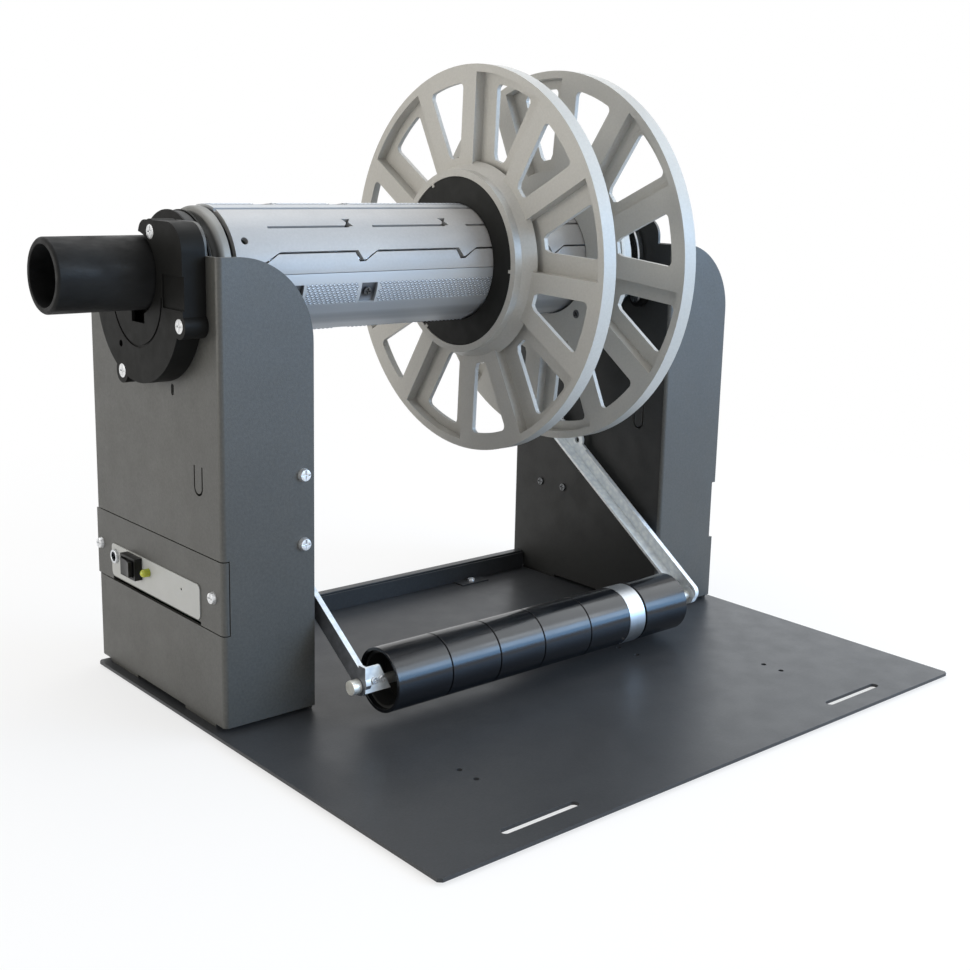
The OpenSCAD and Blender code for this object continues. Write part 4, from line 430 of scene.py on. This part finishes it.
def row_of_teeth(row, middle):
    """One row of small pointed teeth along the mandrel."""
    angle = math.radians(middle + (row - (TOOTH_ROWS - 1) / 2) * math.degrees(TOOTH_CLIMB / MANDREL_R))
    start = KNURL_FROM + TOOTH_PITCH / 2 + (TOOTH_ROWS - 1 - row) * TOOTH_SHIFT % TOOTH_PITCH
    bpy.ops.object.select_all(action="DESELECT")
    bpy.ops.mesh.primitive_cone_add(vertices=4, radius1=mm(TOOTH_CLIMB * FOOT_SHARE),
                                    radius2=mm(TOOTH_CLIMB * TIP_SHARE), depth=mm(TOOTH_HIGH),
                                    end_fill_type="NGON", location=(0, 0, 0))
    teeth = bpy.context.object
    bpy.ops.object.mode_set(mode="EDIT")
    bpy.ops.mesh.select_all(action="SELECT")
    bpy.ops.transform.resize(value=(TOOTH_PITCH / TOOTH_CLIMB * LONG_SHARE, 1, 1))
    bpy.ops.object.mode_set(mode="OBJECT")
    run = teeth.modifiers.new("run", "ARRAY")
    run.use_relative_offset = False
    run.use_constant_offset = True
    run.constant_offset_displace = (mm(TOOTH_PITCH), 0, 0)
    run.count = int((KNURL_TO - start) / TOOTH_PITCH)
    bpy.ops.object.modifier_apply(modifier="run")
    out = Vector((0, -math.cos(angle), math.sin(angle)))
    away = MANDREL_R - TOOTH_HIGH * SUNK_SHARE + TOOTH_HIGH / 2
    teeth.rotation_euler = (math.atan2(-out.y, out.z), 0, 0)
    teeth.location = Vector((PLATE_LEFT + mm(start), SPINDLE.y, SPINDLE.z)) + out * mm(away)
    only(teeth)
    bpy.ops.object.transform_apply(location=True, rotation=True, scale=True)
    return teeth


def knurl_strip(name, middle, body):
    """Rows of teeth side by side about a middle, given in degrees up from the front, bare at the pockets."""
    rows = [row_of_teeth(row, middle) for row in range(TOOTH_ROWS)]
    bpy.ops.object.select_all(action="DESELECT")
    for teeth in rows:
        teeth.select_set(True)
    bpy.context.view_layer.objects.active = rows[0]
    bpy.ops.object.join()
    piece = bpy.context.object
    piece.name = name
    bpy.ops.object.mode_set(mode="EDIT")
    bpy.ops.mesh.select_all(action="DESELECT")
    bpy.ops.object.mode_set(mode="OBJECT")
    pockets = [POCKET_X + POCKET_PITCH * k for k in POCKET_PLACES]
    for face in piece.data.polygons:
        x = from_left(face.center.x)
        face.select = any(abs(x - p) < POCKET_L / 2 + POCKET_BORDER for p in pockets)
    bpy.ops.object.mode_set(mode="EDIT")
    bpy.ops.mesh.select_mode(type="FACE")
    bpy.ops.mesh.delete(type="FACE")
    bpy.ops.object.mode_set(mode="OBJECT")
    dressed(piece, tooth_metal)
    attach(piece, body)


knurl_strip("knurl_front_low", FRONT_STRIP, "spindle")
knurl_strip("knurl_bottom", BOTTOM_STRIP, "spindle")
knurl_strip("knurl_back_high", FRONT_STRIP + 180, "sliding_shell")
knurl_strip("knurl_top", BOTTOM_STRIP + 180, "sliding_shell")


# Floor, light and camera

# Floor in metres: its size, and the distances between which its glow rises to full white
FLOOR_SIZE, FADE_FROM, FADE_TO = 8, 0.30, 0.85
NEAR_GLOW, FAR_GLOW = 0.70, 1.0

# Light from all round
SKY_COLOUR, SKY_STRENGTH = (1.0, 0.98, 0.95), 0.38


def seen_rays(tree):
    """1 for what the camera sees, straight, through glass or in a shiny face, and 0 for what only lights."""
    rays = tree.nodes.new("ShaderNodeLightPath").outputs
    clear = maths(tree, "MAXIMUM", rays["Is Camera Ray"], rays["Is Transmission Ray"])
    return maths(tree, "MAXIMUM", clear, rays["Is Glossy Ray"])


def mixed(tree, share, plain, white, output):
    """Plain where the share is 0 and white where it is 1, into the output's surface."""
    both = tree.nodes.new("ShaderNodeMixShader")
    for socket, source in zip(both.inputs, (share, plain, white)):
        tree.links.new(source, socket)
    tree.links.new(both.outputs[0], output.inputs["Surface"])


def glow(tree, kind, colour, strength):
    made = tree.nodes.new(kind)
    made.inputs["Color"].default_value = (*colour, 1)
    made.inputs["Strength"].default_value = strength
    return made.outputs[0]


bpy.ops.object.select_all(action="DESELECT")
bpy.ops.mesh.primitive_plane_add(size=FLOOR_SIZE, location=(0, 0, 0))
floor = bpy.context.object
floor.name = "floor"
floor_paint, tree, shader, source = tree_of("pale floor")
shader.inputs["Base Color"].default_value = (0.86, 0.86, 0.86, 1)
shader.inputs["Roughness"].default_value = 0.9
shader.inputs["Specular IOR Level"].default_value = 0.1
fade = span(tree, vectors(tree, "LENGTH", source), FADE_FROM, FADE_TO, NEAR_GLOW, FAR_GLOW)
mixed(tree, maths(tree, "MULTIPLY", seen_rays(tree), fade), shader.outputs[0],
      glow(tree, "ShaderNodeEmission", (1, 1, 1), 1.0), tree.nodes["Material Output"])
floor.data.materials.append(floor_paint)

world = bpy.context.scene.world or bpy.data.worlds.new("studio")
bpy.context.scene.world = world
world.use_nodes = True
tree = world.node_tree
tree.nodes.clear()
mixed(tree, seen_rays(tree), glow(tree, "ShaderNodeBackground", SKY_COLOUR, SKY_STRENGTH),
      glow(tree, "ShaderNodeBackground", (1, 1, 1), 1.0), tree.nodes.new("ShaderNodeOutputWorld"))


def softbox(name, place, aim, size, watts, colour):
    """A flat lamp that faces a point; places and its width and height in metres."""
    lamp = bpy.data.lights.new(name, "AREA")
    lamp.shape = "RECTANGLE"
    lamp.size, lamp.size_y = size
    lamp.energy = watts
    lamp.color = colour
    made = bpy.data.objects.new(name, lamp)
    made.location = place
    made.rotation_euler = (Vector(aim) - Vector(place)).to_track_quat("-Z", "Y").to_euler()
    bpy.context.scene.collection.objects.link(made)


softbox("window front", (0.9, -1.7, 1.0), (0, 0, 0.15), (1.8, 1.0), 24, (0.80, 0.90, 1.0))
softbox("window low", (1.5, -1.7, 0.6), (0.1, 0, 0.15), (1.6, 0.9), 27, (0.22, 0.54, 1.0))
softbox("window right", (1.6, -0.6, 1.5), (0, 0, 0.1), (1.6, 1.0), 13, (0.92, 0.97, 1.0))
softbox("sheet left", (-1.7, 0.5, 0.4), (0, 0, 0.15), (1.3, 0.9), 13, (1.0, 0.965, 0.89))
softbox("sheet far right", (2.2, 1.2, 0.9), (0, 0, 0.1), (1.8, 1.2), 6.5, (0.86, 0.93, 1.0))
softbox("ceiling", (0.2, 0.6, 2.0), (0, 0, 0.1), (2.0, 1.6), 22, (1.0, 1.0, 1.0))

lens = bpy.data.cameras.new("camera")
lens.sensor_width = 36
lens.lens = 50.476
lens.shift_x = -0.00669
lens.shift_y = -0.03025
lens.clip_start = 0.02
lens.clip_end = 50
camera = bpy.data.objects.new("camera", lens)
camera.location = (-0.56748, -0.61009, 0.32054)
camera.rotation_euler = [math.radians(a) for a in (77.9152, -1.3939, -40.8164)]
bpy.context.scene.collection.objects.link(camera)
bpy.context.scene.camera = camera
bpy.context.scene.view_settings.view_transform = "Standard"
